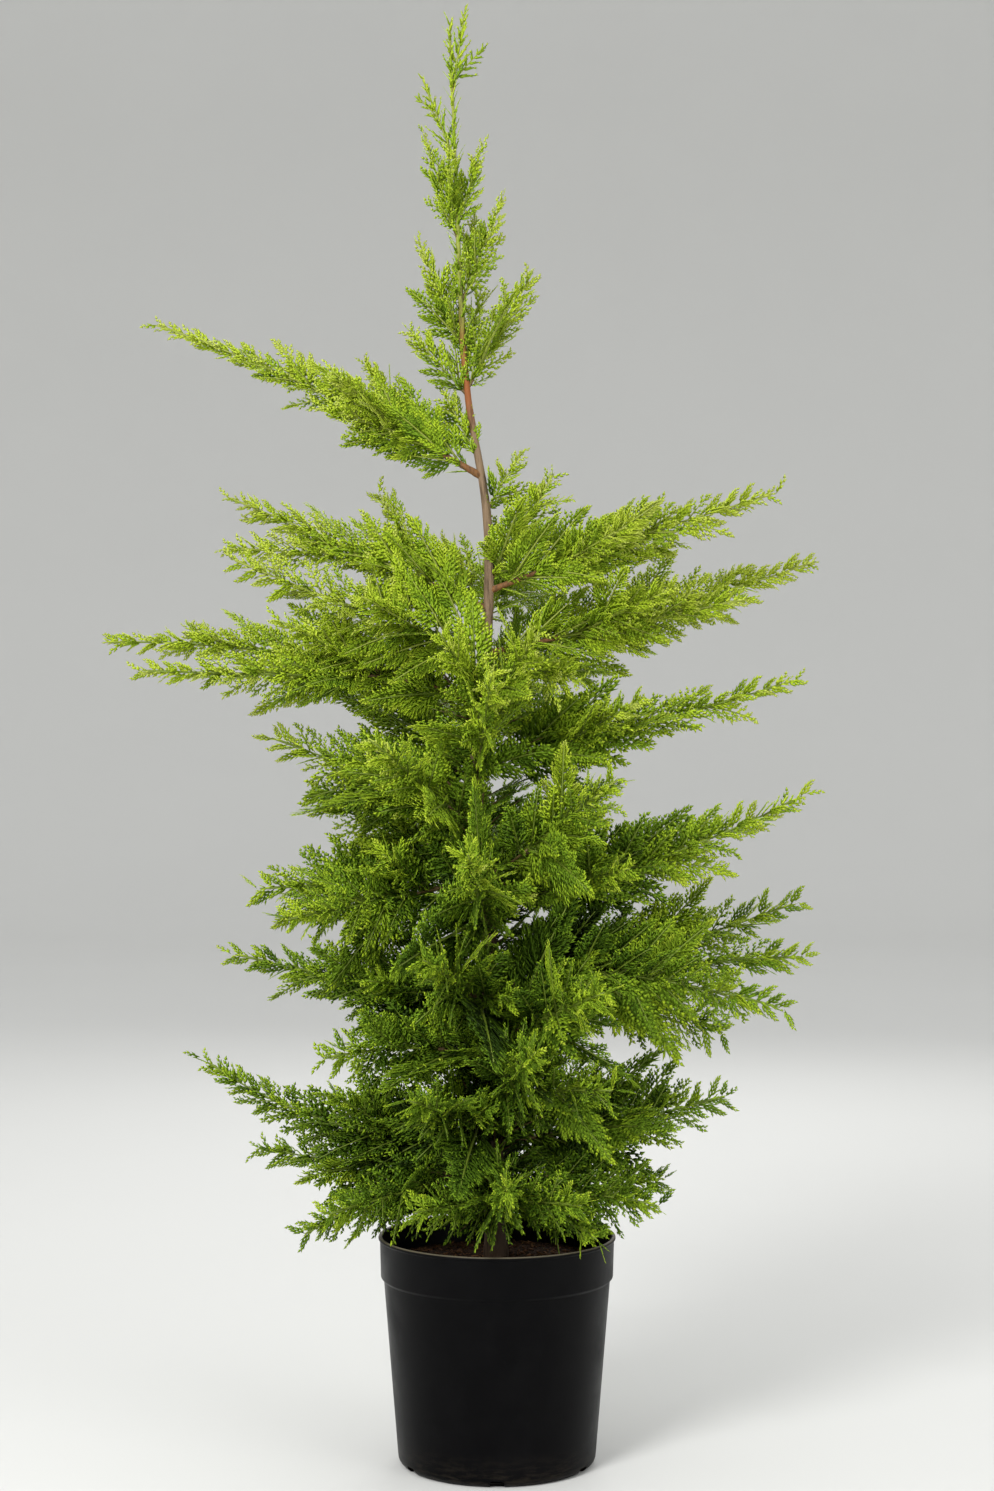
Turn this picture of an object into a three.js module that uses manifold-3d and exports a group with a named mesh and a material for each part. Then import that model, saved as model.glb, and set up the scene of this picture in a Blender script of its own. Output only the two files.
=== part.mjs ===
// A young Leyland-type cypress in a round black nursery pot.
// Millimetres, +Z up, origin under the middle of the pot's flat underside, the fuller face towards -Y.
// The trunk stays whole to its tip. Limbs leave it by the LIMBS table: the long ones start as a bare
// bough, and every limb ends in a mass, which is one forked stem with toothed sprays fused along it.

import * as THREE from 'three';
import { mergeVertices } from 'three/addons/utils/BufferGeometryUtils.js';
import Module from 'manifold-3d';

const wasm = await Module();
wasm.setup();

// ---- Driving dimensions ----------------------------------------------------------------------

const GAP = 0.3; // between any two solids that touch on the real plant

const POT = {
  height: 229,
  rimRadius: 120,
  lipWidth: 1.6, // how far the rolled lip stands out of the band under it
  lipHeight: 4,
  bandHeight: 40, // the plain band under the lip
  bandStep: 4, // how far the band stands out of the body
  footRadius: 100,
  footRound: 9,
  wall: 2.4,
  floor: 3,
  sides: 30,
  bandRise: 3, // height over which the body steps out into the band
  bandLean: 1, // how much wider the band is at its top
  slots: 6, // drainage slots through the bottom corner
  slotWidth: 14,
  slotDepth: 10,
  slotHeight: 7,
};

const SOIL = { top: 205, flatRadius: 34, edgeDrop: 4, wallGap: 0.4 };

const TRUNK = {
  foot: SOIL.top + GAP,
  top: 1456,
  leanX: [-1, -4, -7, -10, -21, -10, -10, -30, -38, -43, -48], // axis at even heights, foot to tip
  leanY: [0, 3, 5, 2, -3, -6, -4, 1, 4, 3, 0],
  tipRadius: 1,
  footRadius: 11,
  taper: 1.15,
  flare: 4.5, // the swelling over the roots
  flareHeight: 34,
  sides: 9,
  steps: 20,
};

const BOUGH = { footPerReach: 0.0125, tipShare: 0.72, sides: 6, steps: 5 };
const STEM = {
  footPerReach: 0.009, // radius at its foot, for each millimetre of reach
  least: 1.6,
  tip: 0.8, // radius at its tip
  sides: 3,
  stepLength: 100, // between its bends
  forkShare: 0.8, // radius of a fork against its parent's foot
  forkLeaf: 0.2, // share of a fork that is bare
  leafAfterBough: 0.06, // share of a limb between its bough's tip and its first spray
};

// Side twigs that every long limb grows, to its left and right by turns.
const TWIG = {
  perReach: 1 / 165, // how many for each millimetre of reach
  first: 0.26, // share along the limb of the first one
  last: 0.66,
  afterBough: 0.06, // least share between the bough's tip and the first twig
  turn: 42, // degrees from the limb, seen from above
  turnVary: 10,
  reach: 0.44, // of what is left of the limb
  rise: 0.34, // of its own reach
  riseVary: 0.3,
};

const SPRAY = {
  pitch: 46, // between sprays along a stem
  open: 48, // degrees between a spray and its stem
  openVary: 9,
  lift: 0.14, // how much a spray turns up towards the light
  rollTurn: 137.5, // degrees about the stem from one spray to the next
  rollVary: 26,
  twistVary: 38,
  inner: 2.2, // length at the foot of a stem, as a share of the limb's spray
  outer: 0.36, // and at its tip
  taper: 1.5,
  lengthVary: 0.12,
  halfWidth: 0.38, // of a spray's length
  thickness: 2.3,
  rootSunk: 0.4, // of its stem's radius, behind the stem's axis
  droop: 0.1, // of its length, at its tip
  last: 0.56, // length of the one at a stem's tip
  lastMost: 0.5, // and at most this share of the stem
  lastTwist: 57, // degrees, either way
  lastSunk: 0.02, // share of the stem that runs on into it
  spread: [0.2, 0.4], // shares of a pitch left before the first one and after the last
  stagger: 0.02, // between the teeth of its two sides
  tries: [1, 0.86, 0.72, 0.58, 0.46], // lengths tried before a spray is left out
  clear: 1, // round a spray, from any other mass, limb or the pot
};

// One side of a spray's toothed outline, as shares of its length and half width, root to tip.
const TEETH = [[0.42, 0.96], [0.48, 0.4], [0.72, 0.72]];
const RIB = 0.25; // where along a spray it is thickest

// Limbs, from the top down. z: height on the trunk. az: degrees about +Z, 0 to the right, 90 to the
// back. reach and rise: level and upward distance to the tip. arch: how far the middle stands above
// the straight line. bough: share of the limb that is a bare bough. leaf: where sprays begin.
// spray: length of a spray. open: degrees between a spray and its stem.
// forks: [share along the limb, turn in degrees, reach, rise].
const LIMBS = {
  tip: { z: 1386, az: 340, reach: 15, rise: 89, spray: 32, open: 30 },
  leader_left: { z: 1316, az: 172, reach: 34, rise: 86, spray: 34, open: 30 },
  leader_right: { z: 1252, az: 350, reach: 27, rise: 84, spray: 38, open: 30 },
  leader_low_left: {
    z: 1236, az: 200, reach: 38, rise: 108, spray: 40, open: 30,
    forks: [[0.16, 62, 30, 78]],
  },
  leader_low_right: {
    z: 1172, az: 12, reach: 44, rise: 112, spray: 44, open: 32,
    forks: [[0.16, 66, 34, 84]],
  },
  high_left: { z: 1124, az: 168, reach: 48, rise: 116, spray: 46, open: 32 },
  high_right: { z: 1084, az: 352, reach: 64, rise: 112, spray: 80, open: 30 },
  high_back: { z: 1104, az: 78, reach: 78, rise: 100, spray: 60 },
  collar_left: { z: 1078, az: 192, reach: 62, rise: 66, spray: 54, open: 38 },
  left_top: {
    z: 996, az: 184, reach: 328, rise: 150, arch: 10, bough: 0.12, leaf: 0.15, spray: 70, open: 27,
    forks: [[0.18, -50, 92, 92], [0.22, 20, 98, 26]],
  },
  spur_right: { z: 962, az: 345, reach: 38, rise: 60, spray: 38 },
  spur_left: { z: 1012, az: 176, reach: 38, rise: 74, spray: 50, open: 34 },
  plume_right: { z: 888, az: 350, reach: 68, rise: 112, spray: 66 },
  right_top: {
    z: 880, az: 352, reach: 290, rise: 95, arch: 4, bough: 0.16, leaf: 0.19, spray: 80, open: 32,
    forks: [[0.24, 20, 128, 22]],
  },
  left_high: {
    z: 862, az: 177, reach: 268, rise: 115, arch: 2, bough: 0.14, leaf: 0.17, spray: 76, open: 33,
    forks: [[0.22, -42, 78, 98], [0.46, 12, 146, 5]],
  },
  back_high: { z: 850, az: 74, reach: 152, rise: 104, spray: 86, forks: [[0.26, 52, 104, 62]] },
  left_front_high: { z: 820, az: 192, reach: 262, rise: 90, arch: -4, leaf: 0.16, spray: 86 },
  right_high: {
    z: 816, az: 10, reach: 352, rise: 100, arch: -5, bough: 0.14, leaf: 0.17, spray: 80, open: 32,
    forks: [[0.2, -14, 200, 40]],
  },
  spur_low_right: { z: 790, az: 326, reach: 124, rise: -6, arch: 12, leaf: 0.18, spray: 72 },
  left_upper: {
    z: 766, az: 178, reach: 386, rise: 62, arch: 20, bough: 0.12, leaf: 0.15, spray: 80, open: 31,
    forks: [[0.22, 16, 262, 4]],
  },
  front_high: { z: 748, az: 300, reach: 124, rise: 88, spray: 84, forks: [[0.16, -58, 104, 74]] },
  back_upper: { z: 744, az: 72, reach: 196, rise: 92, spray: 86, open: 42 },
  right_upper: {
    z: 704, az: 350, reach: 326, rise: 86, arch: -4, bough: 0.16, leaf: 0.19, spray: 76, open: 30,
  },
  back_left: { z: 694, az: 120, reach: 205, rise: 104, spray: 98 },
  front_upper: { z: 688, az: 276, reach: 154, rise: 110, spray: 92 },
  left_middle: { z: 668, az: 170, reach: 222, rise: 66, arch: -4, leaf: 0.14, spray: 92, open: 40 },
  front_left: { z: 634, az: 232, reach: 178, rise: 98, spray: 98 },
  back_middle: {
    z: 574, az: 88, reach: 250, rise: 84, leaf: 0.16, spray: 106,
    forks: [[0.22, -42, 178, 50], [0.26, 42, 176, 48]],
  },
  left_back: { z: 598, az: 150, reach: 214, rise: 72, leaf: 0.14, spray: 98 },
  right_front: { z: 586, az: 312, reach: 192, rise: 108, leaf: 0.14, spray: 104 },
  left_broad: {
    z: 576, az: 187, reach: 236, rise: 4, arch: 4, leaf: 0.14, spray: 108,
    forks: [[0.2, 32, 192, -24]],
  },
  right_broad: {
    z: 564, az: 347, reach: 326, rise: 114, arch: -14, bough: 0.22, leaf: 0.26, spray: 86, open: 34,
    forks: [[0.34, 38, 152, 58]],
  },
  front_middle: { z: 532, az: 264, reach: 188, rise: 92, leaf: 0.14, spray: 104 },
  right_front_low: {
    z: 498, az: 338, reach: 310, rise: -30, arch: 12, leaf: 0.24, spray: 106,
    forks: [[0.26, 24, 164, -66]],
  },
  right_low: {
    z: 474, az: 10, reach: 326, rise: 88, arch: -6, bough: 0.2, leaf: 0.24, spray: 98, open: 42,
    forks: [[0.34, -12, 216, 10]],
  },
  left_low: {
    z: 466, az: 182, reach: 264, rise: 48, arch: -4, leaf: 0.16, spray: 86, open: 38,
    forks: [[0.2, -34, 180, 12]],
  },
  front_centre: { z: 458, az: 252, reach: 206, rise: 66, leaf: 0.14, spray: 106 },
  front_right: { z: 424, az: 302, reach: 210, rise: 68, leaf: 0.14, spray: 106 },
  left_front: { z: 408, az: 212, reach: 196, rise: 10, arch: 10, leaf: 0.16, spray: 98 },
  back_low: {
    z: 398, az: 94, reach: 236, rise: 46, leaf: 0.16, spray: 106,
    forks: [[0.2, -34, 186, 18], [0.24, 34, 184, 16]],
  },
  front_low: { z: 364, az: 282, reach: 202, rise: 74, leaf: 0.14, spray: 104, forks: [[0.2, 32, 158, 16]] },
  left_base: {
    z: 334, az: 178, reach: 300, rise: 74, arch: -34, bough: 0.24, leaf: 0.28, spray: 84, open: 36,
  },
  front_low_left: { z: 336, az: 246, reach: 200, rise: 54, leaf: 0.14, spray: 100 },
  right_base: {
    z: 322, az: 356, reach: 238, rise: 50, arch: -6, leaf: 0.18, spray: 96,
    forks: [[0.2, 38, 180, 20]],
  },
  left_skirt: {
    z: 282, az: 170, reach: 252, rise: 28, arch: -2, leaf: 0.18, spray: 86,
    forks: [[0.16, 52, 166, -18], [0.3, 24, 122, -58]],
  },
  back_skirt: { z: 272, az: 92, reach: 214, rise: 12, leaf: 0.18, spray: 92 },
  right_skirt: {
    z: 266, az: 330, reach: 188, rise: 8, arch: 8, leaf: 0.18, spray: 84,
    forks: [[0.24, -26, 112, -30], [0.3, 44, 130, 10]],
  },
  front_skirt: {
    z: 262, az: 274, reach: 180, rise: 44, leaf: 0.2, spray: 90,
    forks: [[0.2, -44, 128, 4], [0.24, 40, 120, 8]],
  },
};

// ---- Small helpers ---------------------------------------------------------------------------

const UP = new THREE.Vector3(0, 0, 1);

// A seeded stream of numbers; each call draws the next one between low and high.
function drawStream(seed) {
  let state = seed >>> 0;
  return (low, high) => {
    state = (state + 0x6d2b79f5) >>> 0;
    let mix = Math.imul(state ^ (state >>> 15), state | 1);
    mix ^= mix + Math.imul(mix ^ (mix >>> 7), mix | 61);
    return low + ((high - low) * ((mix ^ (mix >>> 14)) >>> 0)) / 4294967296;
  };
}

function heading(azimuth) {
  const turn = THREE.MathUtils.degToRad(azimuth);
  return new THREE.Vector3(Math.cos(turn), Math.sin(turn), 0);
}

// A stem: a parabola from its foot, and the level direction that its sections are squared to.
function stemPath(foot, azimuth, reach, rise, arch) {
  const tip = foot.clone().addScaledVector(heading(azimuth), reach).addScaledVector(UP, rise);
  const middle = foot.clone().lerp(tip, 0.5).addScaledVector(UP, 2 * arch);
  return { curve: new THREE.QuadraticBezierCurve3(foot, middle, tip), side: heading(azimuth - 90) };
}

// Axes at a share of the way along a stem: along it, to its side, and out of its upper face.
function frameAt({ curve, side }, share) {
  const along = curve.getTangent(share);
  const upper = side.clone().cross(along).normalize();
  return { at: curve.getPoint(share), along, side: along.clone().cross(upper), upper };
}

function closed(geometry) {
  geometry.deleteAttribute('normal');
  geometry.deleteAttribute('uv');
  return mergeVertices(geometry, 1e-4);
}

function toSolid(geometry) {
  const merged = closed(geometry);
  return new wasm.Manifold(new wasm.Mesh({
    numProp: 3,
    vertProperties: new Float32Array(merged.attributes.position.array),
    triVerts: new Uint32Array(merged.index.array),
  }));
}

// The largest body of a solid, with any loose scrap dropped and any sealed hollow filled.
function toGeometry(solid) {
  const bodies = solid.decompose();
  const body = bodies.reduce((most, next) => (next.volume() > most.volume() ? next : most));
  const mesh = body.getMesh();
  const geometry = new THREE.BufferGeometry();
  geometry.setAttribute('position', new THREE.BufferAttribute(new Float32Array(mesh.vertProperties), 3));
  geometry.setIndex(new THREE.BufferAttribute(new Uint32Array(mesh.triVerts), 1));
  return geometry;
}

// A cylinder bent along a stretch of a stem, with its radius given for each share of the stem.
function limbGeometry(stem, from, to, radiusAt, sides, steps) {
  const geometry = new THREE.CylinderGeometry(1, 1, 1, sides, steps);
  const points = geometry.attributes.position;
  for (let i = 0; i < points.count; i += 1) {
    const share = from + (to - from) * (points.getY(i) + 0.5);
    const { at, side, upper } = frameAt(stem, share);
    const radius = radiusAt(share);
    at.addScaledVector(side, points.getX(i) * radius).addScaledVector(upper, points.getZ(i) * radius);
    points.setXYZ(i, at.x, at.y, at.z);
  }
  return geometry;
}

// ---- Trunk -----------------------------------------------------------------------------------

const trunkHeight = TRUNK.top - TRUNK.foot;
const trunkPoints = TRUNK.leanX.map((x, i) => {
  const share = i / (TRUNK.leanX.length - 1);
  return new THREE.Vector3(x, TRUNK.leanY[i], TRUNK.foot + share * trunkHeight);
});
const trunkStem = {
  curve: new THREE.CatmullRomCurve3(trunkPoints, false, 'catmullrom', 0.5),
  side: new THREE.Vector3(1, 0, 0),
};

function trunkRadius(share) {
  const flare = Math.max(0, 1 - (share * trunkHeight) / TRUNK.flareHeight);
  return TRUNK.tipRadius + (TRUNK.footRadius - TRUNK.tipRadius) * (1 - share) ** TRUNK.taper
    + TRUNK.flare * flare ** 2;
}

// The trunk with its sections level at the foot, so that its cut is flat on the soil.
function trunkGeometry(extra) {
  const radiusAt = (share) => trunkRadius(share) + extra;
  const geometry = limbGeometry(trunkStem, 0, 1, radiusAt, TRUNK.sides, TRUNK.steps);
  const points = geometry.attributes.position;
  const footRow = trunkHeight / TRUNK.steps / 2;
  for (let i = 0; i < points.count; i += 1) {
    if (points.getZ(i) < TRUNK.foot + footRow) points.setZ(i, TRUNK.foot);
  }
  return geometry;
}

const trunkAxisAt = (z) => trunkStem.curve.getPoint((z - TRUNK.foot) / trunkHeight);

// ---- Sprays ----------------------------------------------------------------------------------

// The rim of a spray, root to tip and back, with its teeth set alternately on its two sides.
function sprayRim(length, sunk, extra) {
  const half = length * SPRAY.halfWidth;
  const left = TEETH.map(([x, y]) => [(x + SPRAY.stagger) * length, y * half + extra]);
  const right = TEETH.map(([x, y]) => [(x - SPRAY.stagger) * length, -y * half - extra]).reverse();
  return [[-sunk, 0], ...left, [length + extra, 0], ...right];
}

// A spray as a flat double cone on its toothed rim, drooping towards its tip.
function sprayPoints(foot, length, turn, sunk, extra = 0) {
  const place = (x, y, z) => foot.clone()
    .addScaledVector(turn.along, x)
    .addScaledVector(turn.wide, y)
    .addScaledVector(turn.face, z)
    .addScaledVector(UP, -SPRAY.droop * length * (x / length) ** 2);
  const rim = sprayRim(length, sunk, extra).map(([x, y]) => place(x, y, 0));
  const ribX = RIB * length;
  const ribZ = SPRAY.thickness / 2 + extra;
  return [...rim, place(ribX, 0, ribZ), place(ribX, 0, -ribZ)];
}

function spraySolid(points) {
  const rimCount = points.length - 2;
  const faces = [];
  for (let i = 0; i < rimCount; i += 1) {
    const next = (i + 1) % rimCount;
    faces.push(next, i, rimCount, i, next, rimCount + 1);
  }
  const geometry = new THREE.BufferGeometry().setFromPoints(points);
  geometry.setIndex(faces);
  return toSolid(geometry);
}

// A spray leaves its stem forwards, turned about it by roll, with its flat in the plane of the two.
function sprayTurn(frame, open, roll, twist) {
  const out = frame.side.clone().multiplyScalar(Math.cos(roll)).addScaledVector(frame.upper, Math.sin(roll));
  const along = frame.along.clone().multiplyScalar(Math.cos(open))
    .addScaledVector(out, Math.sin(open))
    .addScaledVector(UP, SPRAY.lift)
    .normalize();
  const wide = frame.along.clone().addScaledVector(out, -0.5);
  wide.addScaledVector(along, -wide.dot(along)).normalize().applyAxisAngle(along, twist);
  return { along, wide, face: along.clone().cross(wide) };
}

// Where the sprays of a stem start, how long they are and which way they point.
function* spraysOf(stem, { spray, open: mean, draw }) {
  const count = Math.max(1, Math.round(((1 - stem.leaf) * stem.curve.getLength()) / SPRAY.pitch));
  const [before, after] = SPRAY.spread;
  const firstRoll = draw(0, 360);
  for (let k = 0; k < count; k += 1) {
    const share = stem.leaf + ((1 - stem.leaf) * (k + before)) / (count + after);
    const open = mean + draw(-SPRAY.openVary, SPRAY.openVary);
    const roll = firstRoll + SPRAY.rollTurn * k + draw(-SPRAY.rollVary, SPRAY.rollVary);
    const twist = draw(-SPRAY.twistVary, SPRAY.twistVary);
    const left = (1 - stem.start) * (1 - share); // of the limb, from here to its tip
    const size = spray * (1 + draw(-SPRAY.lengthVary, SPRAY.lengthVary))
      * (SPRAY.outer + (SPRAY.inner - SPRAY.outer) * left ** SPRAY.taper);
    yield { share, size, turns: [open, roll, twist].map(THREE.MathUtils.degToRad) };
  }
}

// ---- Limbs -----------------------------------------------------------------------------------

// The forks that shape a limb, followed by the side twigs that the seed gives it.
function forksOf({ reach, bough = 0, forks = [] }, draw) {
  const count = Math.floor(reach * TWIG.perReach);
  const firstSide = draw(0, 1) < 0.5 ? -1 : 1;
  const twigs = [];
  for (let k = 0; k < count; k += 1) {
    const first = Math.max(TWIG.first, bough + TWIG.afterBough);
    const share = first + ((TWIG.last - first) * k) / Math.max(1, count - 1);
    const side = k % 2 ? -firstSide : firstSide;
    const turn = side * (TWIG.turn + draw(-TWIG.turnVary, TWIG.turnVary));
    const twigReach = TWIG.reach * (1 - share) * reach;
    twigs.push([share, turn, twigReach, twigReach * (TWIG.rise + draw(-TWIG.riseVary, TWIG.riseVary))]);
  }
  return [...forks, ...twigs];
}

function growLimb([name, limb], index) {
  const draw = drawStream(index + 1);
  const { az, reach, rise, arch = 0, bough = 0, spray, open = SPRAY.open } = limb;
  const leaf = limb.leaf ?? bough + STEM.leafAfterBough;
  const main = stemPath(trunkAxisAt(limb.z), az, reach, rise, arch);
  const stemFoot = Math.max(STEM.least, reach * STEM.footPerReach);
  const stems = [{ ...main, from: bough, leaf, foot: stemFoot, start: 0 }];
  for (const [share, turn, forkReach, forkRise] of forksOf(limb, draw)) {
    const path = stemPath(main.curve.getPoint(share), az + turn, forkReach, forkRise, 0);
    stems.push({ ...path, from: 0, leaf: STEM.forkLeaf, foot: stemFoot * STEM.forkShare, start: share });
  }
  return { name, reach, bough, spray, open, stems, main, draw };
}

const limbs = Object.entries(LIMBS).map(growLimb);

const boughRadius = ({ reach, bough }) => (share) => {
  const foot = reach * BOUGH.footPerReach;
  return foot * (1 - (1 - BOUGH.tipShare) * (share / bough));
};

// ---- Pot and soil ----------------------------------------------------------------------------

const bodyTop = POT.height - POT.lipHeight - POT.bandHeight;
const bandRadius = POT.rimRadius - POT.lipWidth;
const bodyRadiusAt = (z) => {
  const topRadius = bandRadius - POT.bandStep;
  return POT.footRadius + ((topRadius - POT.footRadius) * (z - POT.footRound)) / (bodyTop - POT.footRound);
};

// The round of the foot, from the underside to the wall, moved in and up by the wall for its inside.
function footRound(inset, floor) {
  const points = [];
  for (let i = 0; i <= 3; i += 1) {
    const turn = (Math.PI / 2) * (i / 3);
    points.push(new THREE.Vector2(
      POT.footRadius - POT.footRound - inset + POT.footRound * Math.sin(turn),
      floor + POT.footRound * (1 - Math.cos(turn)),
    ));
  }
  return points;
}

function potShape() {
  const { wall, height, rimRadius, lipHeight, bandRise, bandLean } = POT;
  const profile = [
    new THREE.Vector2(0, 0),
    ...footRound(0, 0),
    new THREE.Vector2(bodyRadiusAt(bodyTop), bodyTop),
    new THREE.Vector2(bandRadius - bandLean, bodyTop + bandRise),
    new THREE.Vector2(bandRadius, height - lipHeight),
    new THREE.Vector2(rimRadius, height - lipHeight + 1),
    new THREE.Vector2(rimRadius, height),
    new THREE.Vector2(bandRadius - wall, height),
    new THREE.Vector2(bandRadius - wall - bandLean, bodyTop + bandRise),
    new THREE.Vector2(bodyRadiusAt(bodyTop) - wall, bodyTop),
    ...footRound(wall, POT.floor).reverse(),
    new THREE.Vector2(0, POT.floor),
  ];
  let pot = toSolid(new THREE.LatheGeometry(profile, POT.sides).rotateX(Math.PI / 2));
  for (let i = 0; i < POT.slots; i += 1) {
    const slot = new THREE.BoxGeometry(POT.slotDepth * 2, POT.slotWidth, POT.slotHeight * 2)
      .translate(POT.footRadius, 0, 0)
      .rotateZ(((i + 0.5) * 2 * Math.PI) / POT.slots);
    pot = pot.subtract(toSolid(slot));
  }
  return pot;
}

function soilShape() {
  const inside = POT.wall + SOIL.wallGap;
  const edgeZ = SOIL.top - SOIL.edgeDrop;
  const edgeRadius = bandRadius - POT.bandLean - inside;
  const profile = [
    new THREE.Vector2(0, POT.floor + GAP),
    ...footRound(inside, POT.floor + GAP),
    new THREE.Vector2(bodyRadiusAt(bodyTop) - inside, bodyTop),
    new THREE.Vector2(edgeRadius, bodyTop + POT.bandRise + 1),
    new THREE.Vector2(edgeRadius, edgeZ),
    new THREE.Vector2(SOIL.flatRadius, SOIL.top),
    new THREE.Vector2(0, SOIL.top),
  ];
  return toSolid(new THREE.LatheGeometry(profile, POT.sides).rotateX(Math.PI / 2));
}

// ---- Masses ----------------------------------------------------------------------------------

const potSolid = potShape();
const soilSolid = soilShape();
const wideTrunk = toSolid(trunkGeometry(GAP));

const stemRadius = (stem, share) => STEM.tip + (stem.foot - STEM.tip) * (1 - share);

// The last spray of a stem carries it on to its tip, and the stem ends a little way inside it.
function lastSprayOf(limb, stem) {
  const length = stem.curve.getLength();
  const size = Math.min(limb.spray * SPRAY.last, length * SPRAY.lastMost);
  const share = 1 - size / length;
  const frame = frameAt(stem, share);
  const along = stem.curve.getPoint(1).addScaledVector(UP, SPRAY.droop * size).sub(frame.at);
  const reach = along.length();
  along.normalize();
  const twist = THREE.MathUtils.degToRad(limb.draw(-SPRAY.lastTwist, SPRAY.lastTwist));
  const wide = frame.upper.clone().applyAxisAngle(along, twist);
  wide.addScaledVector(along, -wide.dot(along)).normalize();
  const turn = { along, wide, face: along.clone().cross(wide) };
  return { share, foot: frame.at, reach, turn, sunk: stemRadius(stem, share) * 2 };
}

// The stretch of a stem that is solid, from its bough or its own foot to a little way into its last
// spray, in straight steps.
function stepsOf(stem, end) {
  const length = stem.curve.getLength();
  const from = stem.from + (stem.from > 0 ? GAP / length : 0);
  return { from, to: end, count: Math.max(2, Math.round((length * (end - from)) / STEM.stepLength)) };
}

function stemSolid(stem) {
  const { from, to, count } = stem.steps;
  return toSolid(limbGeometry(stem, from, to, (share) => stemRadius(stem, share), STEM.sides, count));
}

// The middle of a stem's straight step at a share of its length, where a spray is rooted.
function rootAt({ curve, steps: { from, to, count } }, share) {
  const step = (count * (share - from)) / (to - from);
  const before = Math.min(count - 1, Math.floor(step));
  const shareOf = (i) => from + ((to - from) * i) / count;
  return curve.getPoint(shareOf(before)).lerp(curve.getPoint(shareOf(before + 1)), step - before);
}

// What a spray keeps clear of: the pot, the trunk, the boughs, and the pieces of every other mass.
const placed = [potSolid, soilSolid, wideTrunk].map((solid) => ({ limb: null, solid }));

function place(limb, stem, solid) {
  placed.push({ limb, stem, solid });
  if (limb) limb.pieces.push(solid);
}

function boxesMeet(one, other) {
  return [0, 1, 2].every((i) => one.min[i] < other.max[i] && other.min[i] < one.max[i]);
}

function touches(solid, others) {
  const box = solid.boundingBox();
  return others.some((other) => (
    boxesMeet(box, other.solid.boundingBox()) && !solid.intersect(other.solid).isEmpty()
  ));
}

function growStems(limb) {
  limb.pieces = [];
  if (limb.bough) {
    const geometry = limbGeometry(limb.main, 0, limb.bough, boughRadius(limb), BOUGH.sides, BOUGH.steps);
    limb.boughSolid = toSolid(geometry).subtract(wideTrunk);
    place(null, null, limb.boughSolid);
  }
  for (const stem of limb.stems) {
    const last = lastSprayOf(limb, stem);
    stem.steps = stepsOf(stem, last.share + SPRAY.lastSunk);
    place(limb, stem, stemSolid(stem).subtract(wideTrunk));
    place(limb, null, spraySolid(sprayPoints(last.foot, last.reach, last.turn, last.sunk)));
  }
}

// Each spray is tried at its full length and then shorter, and left out where none of these is clear.
function growSprays(limb) {
  for (const stem of limb.stems) {
    for (const { share, size, turns } of spraysOf(stem, limb)) {
      if (share > stem.steps.to) continue;
      const turn = sprayTurn(frameAt(stem, share), ...turns);
      const root = rootAt(stem, share);
      const sunk = SPRAY.rootSunk * stemRadius(stem, share);
      const others = placed.filter((other) => other.limb !== limb);
      const own = placed.filter((other) => other.limb === limb && other.stem !== stem);
      const fits = SPRAY.tries.find((scale) => {
        const wider = spraySolid(sprayPoints(root, size * scale, turn, sunk, SPRAY.clear));
        const solid = spraySolid(sprayPoints(root, size * scale, turn, sunk));
        return !touches(wider, others) && !touches(solid, own);
      });
      if (fits) place(limb, null, spraySolid(sprayPoints(root, size * fits, turn, sunk)));
    }
  }
}

limbs.forEach(growStems);
limbs.forEach(growSprays);

// ---- The plant -------------------------------------------------------------------------------

const FINISH = {
  pot: { color: 0x1b1c1e, roughness: 0.42 },
  soil: { color: 0x3a2a1f, roughness: 1 },
  bark: { color: 0x6b4a33, roughness: 0.85 },
  foliage: { color: 0x6f9a2c, roughness: 0.6 },
};

function piece(name, geometry, finish) {
  const mesh = new THREE.Mesh(geometry, new THREE.MeshStandardMaterial({ ...finish, metalness: 0 }));
  mesh.name = name;
  return mesh;
}

const plant = new THREE.Group();
plant.add(piece('pot', toGeometry(potSolid), FINISH.pot));
plant.add(piece('soil', toGeometry(soilSolid), FINISH.soil));
plant.add(piece('trunk', closed(trunkGeometry(0)), FINISH.bark));
for (const limb of limbs) {
  if (limb.bough) plant.add(piece(`bough_${limb.name}`, toGeometry(limb.boughSolid), FINISH.bark));
  plant.add(piece(`mass_${limb.name}`, toGeometry(wasm.Manifold.union(limb.pieces)), FINISH.foliage));
}

export default plant;
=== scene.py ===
"""Looks of a young Leyland-type cypress in a round black nursery pot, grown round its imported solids.

The classes hold millimetres and degrees, and the meshes metres. Z is up, the origin is under the
pot and the fuller face looks towards -Y. The limbs follow the rule that set out the solids: every
limb is a forked stem, and sprays leave it by a seeded stream of numbers. Here each spray is carried
on to flat fronds, and each frond to side shoots and the scale-leaved tips along them.
"""

import logging
import math
from contextlib import contextmanager
from dataclasses import dataclass, field
from enum import Enum
from typing import Iterator, Sequence

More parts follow.
